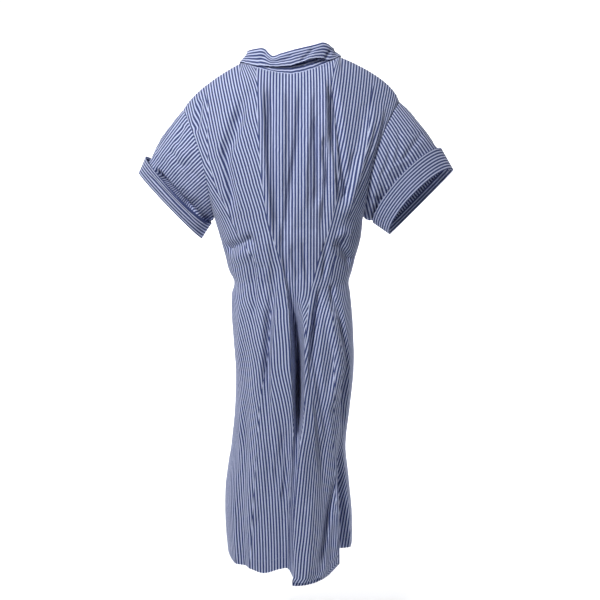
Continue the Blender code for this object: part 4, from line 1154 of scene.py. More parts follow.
@functools.cache
def sleeve_surface(name):
    """The sleeve with its creases and crumples; its rings start and end at the underarm."""
    side = SIDES[name]
    rings = closed_up(sleeve_base(name))
    normals = face_normals(rings)
    edge = seam_distance(rings, ("top",))
    under = seam_distance(rings, ("first", "last"))
    calm = ease(edge / SEAM_FADE) * ease((under - UNDERARM_CALM[0]) / UNDERARM_CALM[1])
    behind = ease(-BEHIND_RATE * normals[..., 1])
    rings = rings + (creased(rings, SLEEVE_CREASES[name]) - rings) * behind[..., None]
    count, scale = SLEEVE_DRAPES
    before = calm * (1 - behind)
    rings = crumpled(rings, normals, count, DRAPE, 51 + side["draw"], before, scale)
    rings = crumpled(rings, normals, SLEEVE_CRUMPLES, CRUMPLE, 31 + side["draw"], calm)
    away = edge + (1 - ease(under / UNDERARM_PUCKER_FADE))
    rings = puckered(rings, normals, away, HEM_PUCKER_WIDTH, 33)
    return seam_sunk(rings, normals, ("top",))[:, :-1]


def cuff_surface(name):
    """A turned-up cuff: up inside the sleeve's end, round its fold and up outside to its edge.

    It stands off the sleeve by its clearance, and from its fold up by its stand-off, and behind
    by its gape. Its fold is half a circle.
    """
    side = SIDES[name]
    sleeve = sleeve_base(name)
    rings = sleeve[SLEEVE_ROWS:]
    normals = face_normals(sleeve, True)[SLEEVE_ROWS:]
    height = np.linspace(1, 0, CUFF_ROWS + 1)[:, None, None]
    back_share = np.clip(-normals[..., 1:2], 0, 1)
    gape = (side["cuff_gape"] + CUFF_GAPE[name]) * back_share
    lift = CUFF_CLEAR + height * (CUFF_STAND_OFF + gape)
    outside = rings + normals * lift + (rings[-1] - rings) * CUFF_SAG[name] * back_share**2
    behind = ease(-BEHIND_RATE * normals[..., 1:2])
    creases = creased(closed_up(outside), CUFF_CREASES[name])[:, :-1] - outside
    outside = outside + creases * behind
    hang = unit(rings[-1] - rings[-2])
    turn = np.linspace(0, np.pi, CUFF_EDGE_ROWS + 1)[1:, None, None]
    half = lift[-1] / 2 + CUFF_EDGE_ROUND
    round_end = outside[-1] - normals[-1] * half * (1 - np.cos(turn)) + hang * half * np.sin(turn)
    inside = round_end[-1] - (rings[-1] - rings[-CUFF_EDGE_ROWS - 1 : -1][::-1])
    return np.concatenate([outside, round_end, inside])


def neck_line(row, back, right, left):
    """One row of the three panels below the neckline, from the left front to the right one."""
    first = (BACK_COLUMNS - NECK_COLUMNS) // 2
    behind = back[row, first : first + NECK_COLUMNS]
    before = left[row, :FRONT_NECK_COLUMNS], right[row, -FRONT_NECK_COLUMNS - 1 :]
    return np.concatenate([before[0], behind, before[1]])


def outward_at_neck(edge):
    """Level directions out of the neck along its edge."""
    run = np.gradient(edge, axis=0) * np.array([1, 1, 0])
    return unit(np.cross(run, UP))


def in_front(points):
    """From 0 behind the shoulder seams to 1 at the front of the neck."""
    return ease(points[..., 1] / FRONT_NECK[1])


def stand_grid(edge):
    """The collar stand: straight rows from its upper edge down to the neckline.

    The upper edge leans in, most at the sides, by lean + side lean * (outward x)^2.
    """
    outward = outward_at_neck(edge)
    top = edge - outward * (STAND_LEAN + SIDE_LEAN * outward[:, :1] ** 2)
    behind = smooth(COLLAR, "fold", top[:, 0], "x") - FOLD_RISE
    share = in_front(edge)
    top[:, 2] = (1 - share) * behind + share * (edge[:, 2] + FRONT_STAND_HEIGHT)
    return edge + np.linspace(1, 0, STAND_ROWS + 1)[:, None, None] * (top - edge)


def fall_edge(lines, normals):
    """The collar's lower edge: above the neckline behind, and lying on the fronts before it.

    It reaches down the cloth by a length, or straight up where that is less than 0, and stands
    off along the normals.
    """
    edge = lines[0]
    share = in_front(edge)
    reach = smooth(COLLAR, "reach", edge[:, 0], "x") * (1 - share)
    reach += COLLAR_FRONT_REACH * share + COLLAR_POINT_REACH * share**COLLAR_POINT_POWER
    stand_off = smooth(COLLAR, "stand_off", edge[:, 0], "x")
    stand_off = stand_off * (1 - share) + COLLAR_FRONT_STAND_OFF * share
    at = length_down(lines, arc_lengths(lines), reach) - UP * np.minimum(reach, 0)[:, None]
    return at + normals * stand_off[:, None]


def length_down(grid, arc, reach):
    """The point of each column at its own length from the first row; arc holds the lengths."""
    columns = np.arange(grid.shape[1])
    return np.array(
        [[np.interp(reach[j], arc[:, j], grid[:, j, k]) for k in range(3)] for j in columns]
    )


def fall_grid(stand, lower):
    """The collar's fall: up from the stand, round over the fold and down to its own edge.

    The fold is half an ellipse, a little squarer, and the rest a curve that bulges outwards.
    """
    outward = outward_at_neck(stand[0])
    start = stand[0] - outward * FOLD_GAP
    turn = np.linspace(0, np.pi, FOLD_ROWS)[:, None, None]
    rise = UP * FOLD_RISE * np.sin(turn) ** FOLD_RISE_POWER
    over = start + outward * FOLD_WIDTH * (1 - np.cos(turn)) / 2 + rise
    bend = over[-1] + (lower - over[-1]) * FALL_BEND + outward * FALL_ROUNDNESS
    down = np.linspace(0, 1, FALL_ROWS + 1)[1:, None]
    return np.concatenate([over, bezier(over[-1], bend, lower, down)])


@functools.cache
def collar_surfaces():
    """The collar stand and its fall, from the left front round the back to the right front."""
    back, right, left = back_surface(), front_surface("right")[:, ::-1], front_surface("left")
    under = int(np.argmax(body_levels()[0] > COLLAR_LIES_TO))
    neck = np.array([neck_line(row, back, right, left) for row in range(under)])
    grids = body()["back"][0], body()["right"][0][:, ::-1], body()["left"][0]
    facing = neck_line(COLLAR_FACING_ROW, *(face_normals(grid) for grid in grids))
    facing = unit(facing + outward_at_neck(neck[0]) + UP)
    stand = stand_grid(neck[0])
    return stand, creased(fall_grid(stand, fall_edge(neck, facing)), COLLAR_CREASES)


def sleeve_stripes(grid, fan):
    """Stripe places that run down a sleeve, square to its cuff, and spread or close up below.

    A place is the distance from a straight line down the sleeve's outer side, laid along half an
    ellipse as deep as the sleeve where the cloth turns over that line, then straight on. In
    front the places go on by length.
    """
    grid = closed_up(grid)
    middle = grid.shape[1] // 2
    top = grid[:, middle]
    run = unit((top[-1] - top[0]) * (1, 0, 1))
    square = np.array([run[2], 0, -run[0]]) * np.sign(run[0])
    square *= np.sign((grid[-1, 0] - top[-1]) @ square)
    away = (grid - top[0]) @ square - ((top - top[0]) @ square).min()
    down = (grid - top[0]) @ run
    away = np.maximum(away, 0) * (1 - fan * (down - SLEEVE_FAN_MIDDLE))
    half = np.abs(away).max() / 2
    turn = np.linspace(0, np.pi / 2, SLEEVE_CURVE_POINTS)
    curve = np.stack([half * (1 - np.cos(turn)), SLEEVE_HALF_DEPTH * np.sin(turn)], axis=-1)
    behind = np.interp(away, curve[:, 0], arc_lengths(curve)) + np.maximum(away - half, 0)
    lengths, drop = np.moveaxis(cloth_places(grid), -1, 0)
    sign = np.sign(grid[:, middle + 1 :, 1].mean() - grid[:, :middle, 1].mean())
    order = (np.arange(grid.shape[1]) - middle) * sign
    places = sign * np.where(order <= 0, behind, behind[:, middle, None] - np.abs(lengths))
    return places[None], np.zeros(np.subtract(places.shape, 1), int), drop


def cross_stripes(grid, closed):
    """Stripe places that run across a piece: its lengths down the columns, in one gore."""
    places = cloth_places(grid, closed)
    gores = np.zeros(np.subtract(places.shape[:2], 1), int)
    return places[None, ..., 1], gores, places[..., 0]


def mesh_of(name, points, faces):
    """A mesh from points and faces."""
    mesh = bpy.data.meshes.new(name)
    mesh.from_pydata(points, [], faces)
    mesh.update()
    return mesh


def placed(name, data):
    """A new object with this data, in the scene."""
    item = bpy.data.objects.new(name, data)
    bpy.context.scene.collection.objects.link(item)
    return item


def sheet_mesh(name, outer, normals, thickness, stripes, gores, drop, closed):
    """A thin closed wall: outer grid, inner grid and rims, with stripe places as its UV map.

    stripes holds each gore's stripe place for every point, gores each face's gore and drop how
    far down the cloth each point is. A closed grid has one more column of these than of points.
    """
    index = np.arange(outer[..., 0].size).reshape(outer.shape[:2])
    under = (index.size, 0)
    points = np.concatenate([outer.reshape(-1, 3), (outer - normals * thickness).reshape(-1, 3)])
    # Each corner as the number of its point, and of its place in the UV map.
    wide = np.arange(drop.size).reshape(drop.shape)
    corners = np.stack([closed_up(index) if closed else index, wide], axis=-1)
    a, b, c, d = corners[:-1, :-1], corners[:-1, 1:], corners[1:, 1:], corners[1:, :-1]
    outside, inside = np.stack([a, d, c, b], axis=2), np.stack([a, b, c, d], axis=2) + under
    faces, gore = [outside.reshape(-1, 4, 2), inside.reshape(-1, 4, 2)], [gores.reshape(-1)] * 2
    rims = [(corners[0], gores[0]), (corners[-1][::-1], gores[-1][::-1])]
    if not closed:
        rims += [(corners[::-1, 0], gores[::-1, 0]), (corners[:, -1], gores[:, -1])]
    for rim, rim_gore in rims:
        faces.append(np.stack([rim[:-1], rim[1:], rim[1:] + under, rim[:-1] + under], axis=1))
        gore.append(rim_gore)
    faces, gore = np.concatenate(faces), np.concatenate(gore)
    mesh = mesh_of(name, points, faces[..., 0])
    u = stripes.reshape(len(stripes), -1)[gore[:, None], faces[..., 1]]
    v = drop.reshape(-1)[faces[..., 1]]
    layer = mesh.uv_layers.new(name="Cloth")
    layer.uv.foreach_set("vector", np.stack([u, v], axis=-1).reshape(-1).astype(np.float32))
    mesh.validate()
    mesh.update()
    mesh.shade_smooth()
    mesh.set_sharp_from_angle(angle=math.radians(CLOTH_EDGE))
    return mesh


def linear(code):
    """An sRGB hex value as linear red, green, blue and alpha."""
    parts = [int(code[i : i + 2], 16) / 255 for i in (1, 3, 5)]
    return *(p / 12.92 if p <= 0.04045 else ((p + 0.055) / 1.055) ** 2.4 for p in parts), 1.0


def add(tree, kind, settings, links=(), output=0):
    """A new node's output, by number or by name.

    A setting in small letters is the node's own; the others, and the links, name its inputs by
    number or by name, with their values or the outputs that feed them.
    """
    node = tree.nodes.new(kind)
    for key, value in settings.items():
        if isinstance(key, str) and key.islower():
            setattr(node, key, value)
        else:
            node.inputs[key].default_value = value
    for key, source in dict(links).items():
        tree.links.new(source, node.inputs[key])
    return node.outputs[output]


def shader_of(name, values):
    """A new material with its node tree and its shader, whose sockets are given by name."""
    material = bpy.data.materials.new(name)
    material.use_nodes = True
    shader = material.node_tree.nodes["Principled BSDF"]
    for key, value in values.items():
        shader.inputs[key].default_value = value
    return material, material.node_tree, shader


def striped_poplin(settings, colours):
    """Yarn-dyed cotton poplin: a close plain weave, matt, with blue warp stripes between white.

    The weft is white all over, so that the blue is a little broken by it and no stripe edge is
    sharp. Fine crumples catch the light, and a little sheen lifts the cloth's edges.
    """
    shine = {"Roughness": 0.86, "IOR": 1.5, "Specular IOR Level": 0.25}
    shine |= {"Sheen Weight": 0.12, "Sheen Roughness": 0.5}
    material, tree, shader = shader_of("yarn-dyed cotton poplin", shine)
    place = add(tree, "ShaderNodeUVMap", {"uv_map": "Cloth"})
    across, down = add(tree, "ShaderNodeSeparateXYZ", {}, {0: place}).node.outputs[:2]
    repeat = settings.stripe_repeat
    # Yarns wander by a few tenths of a millimetre, which softens each stripe's edge.
    wander = add(tree, "ShaderNodeTexNoise", {"Scale": 700.0, "Detail": 2.0}, {"Vector": place})
    wandering = {"operation": "MULTIPLY_ADD", 1: repeat * YARN_WANDER}
    wandered = add(tree, "ShaderNodeMath", wandering, {0: wander, 2: across})
    # How far a point is from the middle of its blue stripe, and the stripe's soft edge there.
    swing = add(tree, "ShaderNodeMath", {"operation": "PINGPONG", 1: repeat / 2}, {0: wandered})
    edge = repeat * STRIPE_EDGE
    middle = repeat / 2 * settings.blue_share
    soft = {"interpolation_type": "SMOOTHSTEP", 1: middle - edge, 2: middle + edge, 3: 1.0, 4: 0.0}
    blue = add(tree, "ShaderNodeMapRange", soft, {0: swing})
    # The weave: warp waves times weft waves, one wave for each thread.
    waves = {}
    turning = {"operation": "MULTIPLY", 1: 2 * math.pi / THREAD}
    for i, way in enumerate((across, down)):
        turns = add(tree, "ShaderNodeMath", turning, {0: way})
        waves[i] = add(tree, "ShaderNodeMath", {"operation": "SINE"}, {0: turns})
    weave = add(tree, "ShaderNodeMath", {"operation": "MULTIPLY"}, waves)
    broken = {"operation": "MULTIPLY_ADD", 1: WEAVE_SHADE, 2: 1 - WEAVE_SHADE}
    yarn = add(tree, "ShaderNodeMath", broken, {0: weave})
    blue = add(tree, "ShaderNodeMath", {"operation": "MULTIPLY"}, {0: blue, 1: yarn})
    # Washing leaves the dye a little uneven over some tens of millimetres.
    solid = add(tree, "ShaderNodeTexCoord", {}, output="Object")
    wash = add(tree, "ShaderNodeTexNoise", {"Scale": 22.0, "Detail": 3.0}, {"Vector": solid})
    fading = add(tree, "ShaderNodeMath", {"operation": "MULTIPLY", 1: FADING}, {0: wash})
    dyes = {"data_type": "RGBA", 6: linear(colours.blue_yarn), 7: linear(colours.faded_yarn)}
    faded = add(tree, "ShaderNodeMix", dyes, {0: fading}, 2)
    white = {"data_type": "RGBA", 6: linear(colours.white_yarn)}
    colour = add(tree, "ShaderNodeMix", white, {0: blue, 7: faded}, 2)
    tree.links.new(colour, shader.inputs["Base Color"])
    # Crumples of about a centimetre, with the threads on them.
    fine = {"Scale": 85.0, "Detail": 4.0, "Roughness": 0.6}
    crumple = add(tree, "ShaderNodeTexNoise", fine, {"Vector": solid})
    threads = {"operation": "MULTIPLY_ADD", 1: WEAVE_RELIEF}
    height = add(tree, "ShaderNodeMath", threads, {0: weave, 2: crumple})
    lifting = {"Strength": 0.35, "Distance": 0.0012}
    relief = add(tree, "ShaderNodeBump", lifting, {"Height": height})
    tree.links.new(relief, shader.inputs["Normal"])
    return material


def clouded(name, values, noise, first, second):
    """A material that goes from one hex value to another by a noise in the piece's own space."""
    material, tree, shader = shader_of(name, values)
    place = add(tree, "ShaderNodeTexCoord", {}, output="Object")
    clouds = add(tree, "ShaderNodeTexNoise", noise, {"Vector": place})
    both = {"data_type": "RGBA", 6: linear(first), 7: linear(second)}
    colour = add(tree, "ShaderNodeMix", both, {0: clouds}, 2)
    tree.links.new(colour, shader.inputs["Base Color"])
    return material


def pearl_resin():
    """Cast polyester resin, polished: a clear gloss over a soft milky body with faint clouds."""
    values = {"Roughness": 0.22, "IOR": 1.56, "Coat Weight": 0.3}
    noise = {"Scale": 260.0, "Detail": 3.0, "Distortion": 1.4}
    return clouded("pearly polyester resin", values, noise, "#e9ebf2", "#cfd3e2")


def spun_thread(colours):
    """Spun polyester sewing thread: matt, with a fine twist along it."""
    noise = {"Scale": 1400.0, "Detail": 2.0}
    return clouded("spun polyester thread", {"Roughness": 0.7}, noise, colours.thread, "#b9c0da")


def paper():
    """Matt white background paper with a very faint mottle."""
    values = {"Roughness": 0.95, "Specular IOR Level": 0.1}
    noise = {"Scale": 3.0, "Detail": 2.0}
    return clouded("matt background paper", values, noise, "#fbfbfb", "#f6f6f7")


@functools.cache
def materials():
    """The dress's three materials by name."""
    settings, colours = bpy.context.scene.dress_sizes, bpy.context.scene.dress_colours
    return {
        "poplin": striped_poplin(settings, colours),
        "resin": pearl_resin(),
        "thread": spun_thread(colours),
    }


def dress_piece(name, mesh, material, nodes, slot):
    """The mesh as a piece of the dress that stands for its CAD nodes."""
    mesh.materials.append(materials()[material])
    piece = placed(name, mesh)
    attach(piece, "root")
    if nodes:
        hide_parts(*nodes)
    return piece


def panel_nodes(name):
    """The names of the five walls, one above another, that a body panel stands for."""
    return [f"{name}_{level}" for level in ("shoulder", "chest", "waist", "hip", "skirt")]


def add_cloth(
    name, points, cloth, nodes, held, rests_on, allowance=SEAM_ALLOWANCE, closed=False,
    normals=None, layers=1, slot="striped_poplin",
):
    """A cloth piece: its wall, its nodes, and the size of its cut.

    The cut is as wide as the longest row and as long as the longest column, and its area is the
    surface's own, with the seam allowances along both.
    """
    if normals is None:
        normals = face_normals(points, closed)
    mesh = sheet_mesh(name, points, normals, layers * SHEET, *cloth, closed)
    piece = dress_piece(name, mesh, "poplin", nodes, slot)
    grid = closed_up(points) if closed else points
    across = float(arc_lengths(grid, 1)[:, -1].max() + allowance[0])
    down = float(arc_lengths(grid)[-1].max() + allowance[1])
    a, b, c, d = grid[:-1, :-1], grid[:-1, 1:], grid[1:, 1:], grid[1:, :-1]
    area = float(np.linalg.norm(np.cross(c - a, d - b), axis=-1).sum() / 2)
    area += ALLOWANCE_SHARE * (allowance[0] * down + allowance[1] * across)
    area = round(min(area, CUT_SHARE * across * down), 4)


def add_back():
    """The back panel, in five gores of parallel stripes."""
    points = back_surface()
    stripes, gores = striped(*body()["back"], BACK_GORES, BACK_LEANS, 1)
    cloth = stripes, gores, cloth_places(points)[..., 1]
    nodes = panel_nodes("back")
    add_cloth("back_panel", points, cloth, nodes, "hung", "collar_stand", (0.02, 0.04))


def add_front(name):
    """One front, in two gores; the right one's columns are turned round to face outwards."""
    points = front_surface(name)
    sign = SIDES[name]["sign"]
    stripes, gores = striped(*body()[name], FRONT_GORES, FRONT_LEANS, sign)
    parts = [points, -sign * face_normals(points), gores, cloth_places(points)[..., 1]]
    if sign > 0:
        parts, stripes = [part[:, ::-1] for part in parts], stripes[..., ::-1]
    points, normals, gores, drop = parts
    nodes = panel_nodes(f"front_{name}")
    cloth = stripes, gores, drop
    label, allowance = f"{name}_front", (0.04, 0.04)
    add_cloth(label, points, cloth, nodes, "hung", "collar_stand", allowance, normals=normals)


def add_sleeve(name):
    """One sleeve, with its stripes running down it."""
    cloth = sleeve_stripes(sleeve_base(name), SLEEVE_FANS[name])
    label, points, nodes = f"{name}_sleeve", sleeve_surface(name), [f"sleeve_{name}"]
    add_cloth(label, points, cloth, nodes, "hung", f"{name}_front", (0.02, 0.03), True)


def add_cuff(name):
    """One turned-up cuff, with its stripes running round it."""
    points = cuff_surface(name)
    cloth, nodes = cross_stripes(points, True), [f"cuff_{name}"]
    laid = {"closed": True, "slot": "cross_striped_poplin"}
    add_cloth(f"{name}_cuff", points, cloth, nodes, "folded", f"{name}_sleeve", **laid)


def add_collar():
    """The collar's stand and its fall, each of two layers, with their stripes along them."""
    labels = ("collar_band", "collar_stand"), ("collar_leaf", "collar_fall")
    laid = {"allowance": (0.01, 0.01), "layers": 2, "slot": "cross_striped_poplin"}
    for (label, node), points in zip(labels, collar_surfaces()):
        cloth = cross_stripes(points, False)
        add_cloth(label, points, cloth, [node], "folded", "back_panel", **laid)


def revolved(profile, sides):
    """A closed round solid: a profile of radius and height turned about Z, from top to bottom."""
    angle = np.arange(sides) * 2 * np.pi / sides
    radius, height = profile[1:-1, 0, None], profile[1:-1, 1, None] + 0 * angle
    ring = np.stack([radius * np.cos(angle), radius * np.sin(angle), height], axis=-1)
    ends = np.array([[0, 0, profile[0, 1]], [0, 0, profile[-1, 1]]])
    points = np.concatenate([ends[:1], ring.reshape(-1, 3), ends[1:]])
    index = 1 + np.arange(ring[..., 0].size).reshape(-1, sides)
    wrap = np.roll(index, -1, axis=1)
    quads = np.stack([index[:-1], index[1:], wrap[1:], wrap[:-1]], axis=-1).reshape(-1, 4)
    top = np.stack([np.zeros(sides, int), index[0], wrap[0]], axis=-1)
    bottom = np.stack([np.full(sides, len(points) - 1), wrap[-1], index[-1]], axis=-1)
    return points, quads.tolist() + top.tolist() + bottom.tolist()


def button_mesh():
    """A dished round button with a raised rim and four holes through it."""
    profile = BUTTON_PROFILE * (BUTTON_RADIUS, BUTTON_THICKNESS)
    disc = placed("button", mesh_of("button", *revolved(profile, BUTTON_SIDES)))
    hole = np.array([(0, 2), (1, 2), (1, -1), (0, -1)]) * (HOLE_RADIUS, BUTTON_THICKNESS)
    drills = []
    for x, y in ((1, 1), (-1, 1), (-1, -1), (1, -1)):
        points, faces = revolved(hole, HOLE_SIDES)
        drill = placed("drill", mesh_of("drill", points + np.array([x, y, 0]) * HOLE_PLACE, faces))
        drills.append(drill)
        cut = disc.modifiers.new("hole", "BOOLEAN")
        cut.operation, cut.solver, cut.object = "DIFFERENCE", "EXACT", drill
    graph = bpy.context.evaluated_depsgraph_get()
    drilled = bpy.data.meshes.new_from_object(disc.evaluated_get(graph))
    for item in [disc, *drills]:
        bpy.data.objects.remove(item, do_unlink=True)
    return drilled


def button_places():
    """Each button's middle and the way it faces, from its solid's box and the cloth behind it."""
    front = front_surface("right")
    normals = -face_normals(front)
    for number in range(1, BUTTONS + 1):
        node = f"button_{number:02d}"
        low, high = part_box(node)
        middle = np.array((low + high) / 2)
        away = np.linalg.norm(front - middle, axis=-1)
        row, column = np.unravel_index(np.argmin(away), away.shape)
        around = normals[row - 3 : row + 4, column - 2 : column + 3]
        yield node, middle, unit(around.mean((0, 1)))


def turned(points, place, normal):
    """Points carried from the origin to a place, +Z turned to the normal and +X kept level."""
    side = unit(np.cross(UP, normal))
    lift = np.cross(normal, side)
    return place + points[:, :1] * side + points[:, 1:2] * lift + points[:, 2:] * normal


def add_buttons():
    """The ten buttons, each a copy of one drilled disc."""
    disc = button_mesh()
    local = np.empty(len(disc.vertices) * 3)
    disc.vertices.foreach_get("co", local)
    local = local.reshape(-1, 3) - (0, 0, BUTTON_THICKNESS / 2)
    for node, middle, normal in button_places():
        mesh = disc.copy()
        mesh.name = f"{node}_disc"
        placed_at = turned(local, middle, normal).reshape(-1).astype(np.float32)
        mesh.vertices.foreach_set("co", placed_at)
        mesh.shade_smooth()
        mesh.set_sharp_from_angle(angle=math.radians(BUTTON_EDGE))
        dress_piece(f"{node}_disc", mesh, "resin", [node], "pearl_resin")


def stitch_row(path, normals, pitch=STITCH_PITCH, share=STITCH_SHARE, width=STITCH_WIDTH):
    """A row of stitches along a path: each a slim lozenge of thread, tips sunk, middle raised."""
    arc = arc_lengths(path)
    count = max(1, int(arc[-1] / pitch))
    middle = (np.arange(count) + 0.5) * arc[-1] / count
    half = arc[-1] / count * share / 2

    def at(values, places):
        return np.stack([np.interp(places, arc, value) for value in values.T], axis=-1)

    start, centre, end = (at(path, middle + shift) for shift in (-half, 0, half))
    up = unit(at(normals, middle))
    side = np.cross(up, unit(end - start)) * width
    up = up * width
    over, below, dip = up * STITCH_TOP, up * STITCH_UNDERSIDE, up * STITCH_TIP
    ring = [centre + over, centre + side / 2, centre - below, centre - side / 2]
    points = np.stack([*ring, start - dip, end - dip], axis=1)
    faces = [face for i in range(4) for face in ((i, (i + 1) % 4, 4), ((i + 1) % 4, i, 5))]
    index = np.array(faces)[None] + np.arange(count)[:, None, None] * 6
    return points.reshape(-1, 3), index.reshape(-1, 3)


def stitched(name, rows):
    """A piece made of rows of stitches."""
    starts = np.cumsum([0] + [len(points) for points, _ in rows[:-1]])
    points = np.concatenate([points for points, _ in rows])
    faces = np.concatenate([faces + start for (_, faces), start in zip(rows, starts)])
    mesh = mesh_of(name, points, faces)
    mesh.shade_smooth()
    dress_piece(name, mesh, "thread", (), "striped_poplin")


def edge_stitches(points, normals, distance, edge):
    """A row of stitches at one distance from an edge of a grid, just above the cloth."""
    if edge == "first":
        points, normals = points.swapaxes(0, 1), normals.swapaxes(0, 1)
    if edge == "bottom":
        points, normals = points[::-1], normals[::-1]
    arc, reach = arc_lengths(points), np.full(points.shape[1], distance)
    facing = unit(length_down(normals, arc, reach))
    return stitch_row(length_down(points, arc, reach) + facing * STITCH_LIFT, facing)


def add_stitching():
    """The rows of stitches along the hem, the button front and the collar."""
    panels = [(back_surface(), face_normals(back_surface()))]
    for name in ("left", "right"):
        points = front_surface(name)
        panels.append((points, -SIDES[name]["sign"] * face_normals(points)))
    stitched("hem_stitching", [edge_stitches(*grids, HEM_DEPTH, "bottom") for grids in panels])
    placket = [edge_stitches(*panels[2], far, "first") for far in PLACKET_ROWS]
    stitched("placket_stitching", placket)
    stand, fall = collar_surfaces()
    rows = [
        edge_stitches(grid, face_normals(grid), far, "bottom")
        for grid, far in ((fall, COLLAR_ROW), (stand, STAND_ROW))
    ]
    stitched("collar_stitching", rows)


def satin(start, end, place, normal):
    """One straight satin stitch between two points of a plane that faces along the normal."""
    path = turned(np.array([(*start, 0.0), (*end, 0.0)]), place, normal)
    return stitch_row(path, np.stack([normal, normal]), SATIN_LENGTH, 1.0, SATIN_WIDTH)


def add_buttonholes():
    """Each button's upright buttonhole of satin stitches, and two threads through each side."""
    rows = []
    for _, middle, normal in button_places():
        place = middle - normal * (BUTTON_THICKNESS / 2 + BUTTONHOLE_DROP)
        near, far = SATIN_SPAN
        for x in (-1, 1):
            for i in range(SATIN_STITCHES):
                y = (i - (SATIN_STITCHES - 1) / 2) * SATIN_PITCH
                rows.append(satin((x * near, y), (x * far, y), place, normal))
        near, far = BAR_SPAN
        for y in (-1, 1):
            for i in range(BAR_STITCHES):
                x = (i - BAR_STITCHES // 2) * BAR_PITCH
                rows.append(satin((x, y * near), (x, y * far), place, normal))
        top = middle + normal * BUTTON_THICKNESS * THREAD_RISE
        for x in (-1, 1):
            for shift in (-THREAD_SPREAD, THREAD_SPREAD):
                at = x * HOLE_PLACE + shift
                rows.append(satin((at, -HOLE_PLACE), (at, HOLE_PLACE), top, normal))
    stitched("buttonhole_stitching", rows)


def aimed(name, data, place, aim):
    """A lamp or a camera at a place, pointed at another."""
    item = placed(name, data)
    item.location = place
    item.rotation_euler = (Vector(place) - Vector(aim)).to_track_quat("Z", "Y").to_euler()
    return item


def add_floor():
    """The floor: a level sheet that turns up by a quarter circle and runs on as a wall."""
    reach, far, curve = FLOOR_REACH, FLOOR_CURVE_Y, FLOOR_CURVE
    x = np.linspace(-reach, reach, FLOOR_CELLS + 1)
    turn = np.linspace(0, np.pi / 2, CURVE_CELLS + 1)
    flat = np.linspace(-reach, far, CURVE_CELLS + 1)
    wall = np.linspace(curve, reach, WALL_CELLS + 1)
    y = np.concatenate([flat, far + curve * np.sin(turn[1:]), 0 * wall[1:] + far + curve])
    z = np.concatenate([0 * flat, curve * (1 - np.cos(turn[1:])), wall[1:]])
    points = np.stack([x + 0 * y[:, None], y[:, None] + 0 * x, (z + FLOOR_Z)[:, None] + 0 * x], -1)
    index = np.arange(points[..., 0].size).reshape(points.shape[:2])
    corners = [index[:-1, :-1], index[:-1, 1:], index[1:, 1:], index[1:, :-1]]
    mesh = mesh_of("floor", points.reshape(-1, 3), np.stack(corners, axis=-1).reshape(-1, 4))
    mesh.shade_smooth()
    mesh.materials.append(paper())
    placed("floor", mesh)


def add_stage(settings):
    """The floor, the lights, the pale surroundings and the camera."""
    scene = bpy.context.scene
    add_floor()
    for name, place, aim, size, power, spread in LIGHTS:
        lamp = bpy.data.lights.new(name, "AREA")
        lamp.shape, lamp.size, lamp.energy = "DISK", size, power
        lamp.spread = math.radians(spread)
        aimed(name, lamp, place, aim)
    world = bpy.data.worlds.new("studio")
    world.use_nodes = True
    world.node_tree.nodes["Background"].inputs["Color"].default_value = (1, 1, 1, 1)
    world.node_tree.nodes["Background"].inputs["Strength"].default_value = settings.sky
    scene.world = world
    scene.view_settings.view_transform = "Standard"
    lens = bpy.data.cameras.new("camera")
    lens.lens, lens.sensor_width = CAMERA_LENS, CAMERA_SENSOR
    scene.camera = aimed("camera", lens, CAMERA_PLACE, CAMERA_AIM)


class DressSizes(bpy.types.PropertyGroup):
    """Sizes and strengths that drive the dress's surfaces."""

    stripe_repeat: bpy.props.FloatProperty(
        name="Stripe repeat",
        description="From one blue stripe's middle to the next one's",
        default=0.0065,
        unit="LENGTH",
    )
    blue_share: bpy.props.FloatProperty(
        name="Blue share",
        description="The part of a repeat that is blue",
        default=0.58,
        subtype="FACTOR",
    )
    sky: bpy.props.FloatProperty(
        name="Sky",
        description="How strongly the pale surroundings light the dress",
        default=0.05,
    )


class DressColours(bpy.types.PropertyGroup):
    """Yarn and thread colours, as sRGB hex values."""

    blue_yarn: bpy.props.StringProperty(
        name="Blue yarn", description="The dyed warp yarn", default="#2a3872"
    )
    faded_yarn: bpy.props.StringProperty(
        name="Faded yarn",
        description="The dyed warp yarn where washing has faded it",
        default="#384781",
    )
    white_yarn: bpy.props.StringProperty(
        name="White yarn", description="The undyed warp yarn and the weft", default="#ccd5f3"
    )
    thread: bpy.props.StringProperty(
        name="Thread", description="The sewing thread", default="#c3cce8"
    )


class DRESS_OT_back(bpy.types.Operator):
    """Adds the back panel, one cut of striped poplin from the shoulders to the hem"""

    bl_idname = "dress.back"
    bl_label = "Back panel"
    bl_options = {"REGISTER", "UNDO"}

    def execute(self, context):
        add_back()
        return {"FINISHED"}


class DRESS_OT_fronts(bpy.types.Operator):
    """Adds the two fronts, the right one lapped over the left one"""

    bl_idname = "dress.fronts"
    bl_label = "Fronts"
    bl_options = {"REGISTER", "UNDO"}

    def execute(self, context):
        add_front("left")
        add_front("right")
        return {"FINISHED"}


class DRESS_OT_sleeves(bpy.types.Operator):
    """Adds the two short sleeves"""

    bl_idname = "dress.sleeves"
    bl_label = "Sleeves"
    bl_options = {"REGISTER", "UNDO"}

    def execute(self, context):
        add_sleeve("left")
        add_sleeve("right")
        return {"FINISHED"}


class DRESS_OT_cuffs(bpy.types.Operator):
    """Adds the two turned-up cuffs"""

    bl_idname = "dress.cuffs"
    bl_label = "Cuffs"
    bl_options = {"REGISTER", "UNDO"}

    def execute(self, context):
        add_cuff("left")
        add_cuff("right")
        return {"FINISHED"}


class DRESS_OT_collar(bpy.types.Operator):
    """Adds the collar's stand and its fall"""

    bl_idname = "dress.collar"
    bl_label = "Collar"
    bl_options = {"REGISTER", "UNDO"}

    def execute(self, context):
        add_collar()
        return {"FINISHED"}


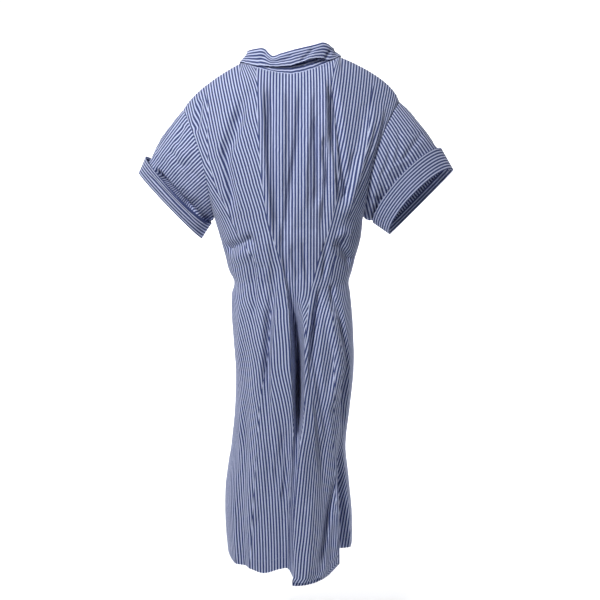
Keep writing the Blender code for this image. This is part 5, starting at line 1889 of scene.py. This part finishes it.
class DRESS_OT_buttons(bpy.types.Operator):
    """Adds the buttons, their thread and their buttonholes"""

    bl_idname = "dress.buttons"
    bl_label = "Buttons"
    bl_options = {"REGISTER", "UNDO"}

    def execute(self, context):
        add_buttons()
        add_buttonholes()
        return {"FINISHED"}


class DRESS_OT_stitching(bpy.types.Operator):
    """Adds the rows of stitching on the hem, the button front and the collar"""

    bl_idname = "dress.stitching"
    bl_label = "Stitching"
    bl_options = {"REGISTER", "UNDO"}

    def execute(self, context):
        add_stitching()
        return {"FINISHED"}


class DRESS_OT_stage(bpy.types.Operator):
    """Adds the floor, the lights and the camera"""

    bl_idname = "dress.stage"
    bl_label = "Stage"
    bl_options = {"REGISTER", "UNDO"}

    def execute(self, context):
        add_stage(context.scene.dress_sizes)
        return {"FINISHED"}


OPERATORS = (
    DRESS_OT_back,
    DRESS_OT_fronts,
    DRESS_OT_sleeves,
    DRESS_OT_cuffs,
    DRESS_OT_collar,
    DRESS_OT_buttons,
    DRESS_OT_stitching,
    DRESS_OT_stage,
)


class DRESS_PT_panel(bpy.types.Panel):
    """The dress's sizes, colours and steps in the 3D view's sidebar."""

    bl_label = "Shirt dress"
    bl_space_type = "VIEW_3D"
    bl_region_type = "UI"
    bl_category = "Dress"

    def draw(self, context):
        for group in (context.scene.dress_sizes, context.scene.dress_colours):
            for name in type(group).__annotations__:
                self.layout.prop(group, name)
        for operator in OPERATORS:
            self.layout.operator(operator.bl_idname)


CLASSES = (DressSizes, DressColours, *OPERATORS, DRESS_PT_panel)


def register():
    """Registers the classes, and the groups of sizes and colours on the scene."""
    for item in CLASSES:
        bpy.utils.register_class(item)
    bpy.types.Scene.dress_sizes = bpy.props.PointerProperty(type=DressSizes)
    bpy.types.Scene.dress_colours = bpy.props.PointerProperty(type=DressColours)


def unregister():
    """Takes the groups off the scene and unregisters the classes."""
    del bpy.types.Scene.dress_colours
    del bpy.types.Scene.dress_sizes
    for item in reversed(CLASSES):
        bpy.utils.unregister_class(item)


def main():
    """Builds the dress and its stage."""
    register()
    for operator in OPERATORS:
        module, name = operator.bl_idname.split(".")
        getattr(getattr(bpy.ops, module), name)()


if __name__ == "__main__":
    main()
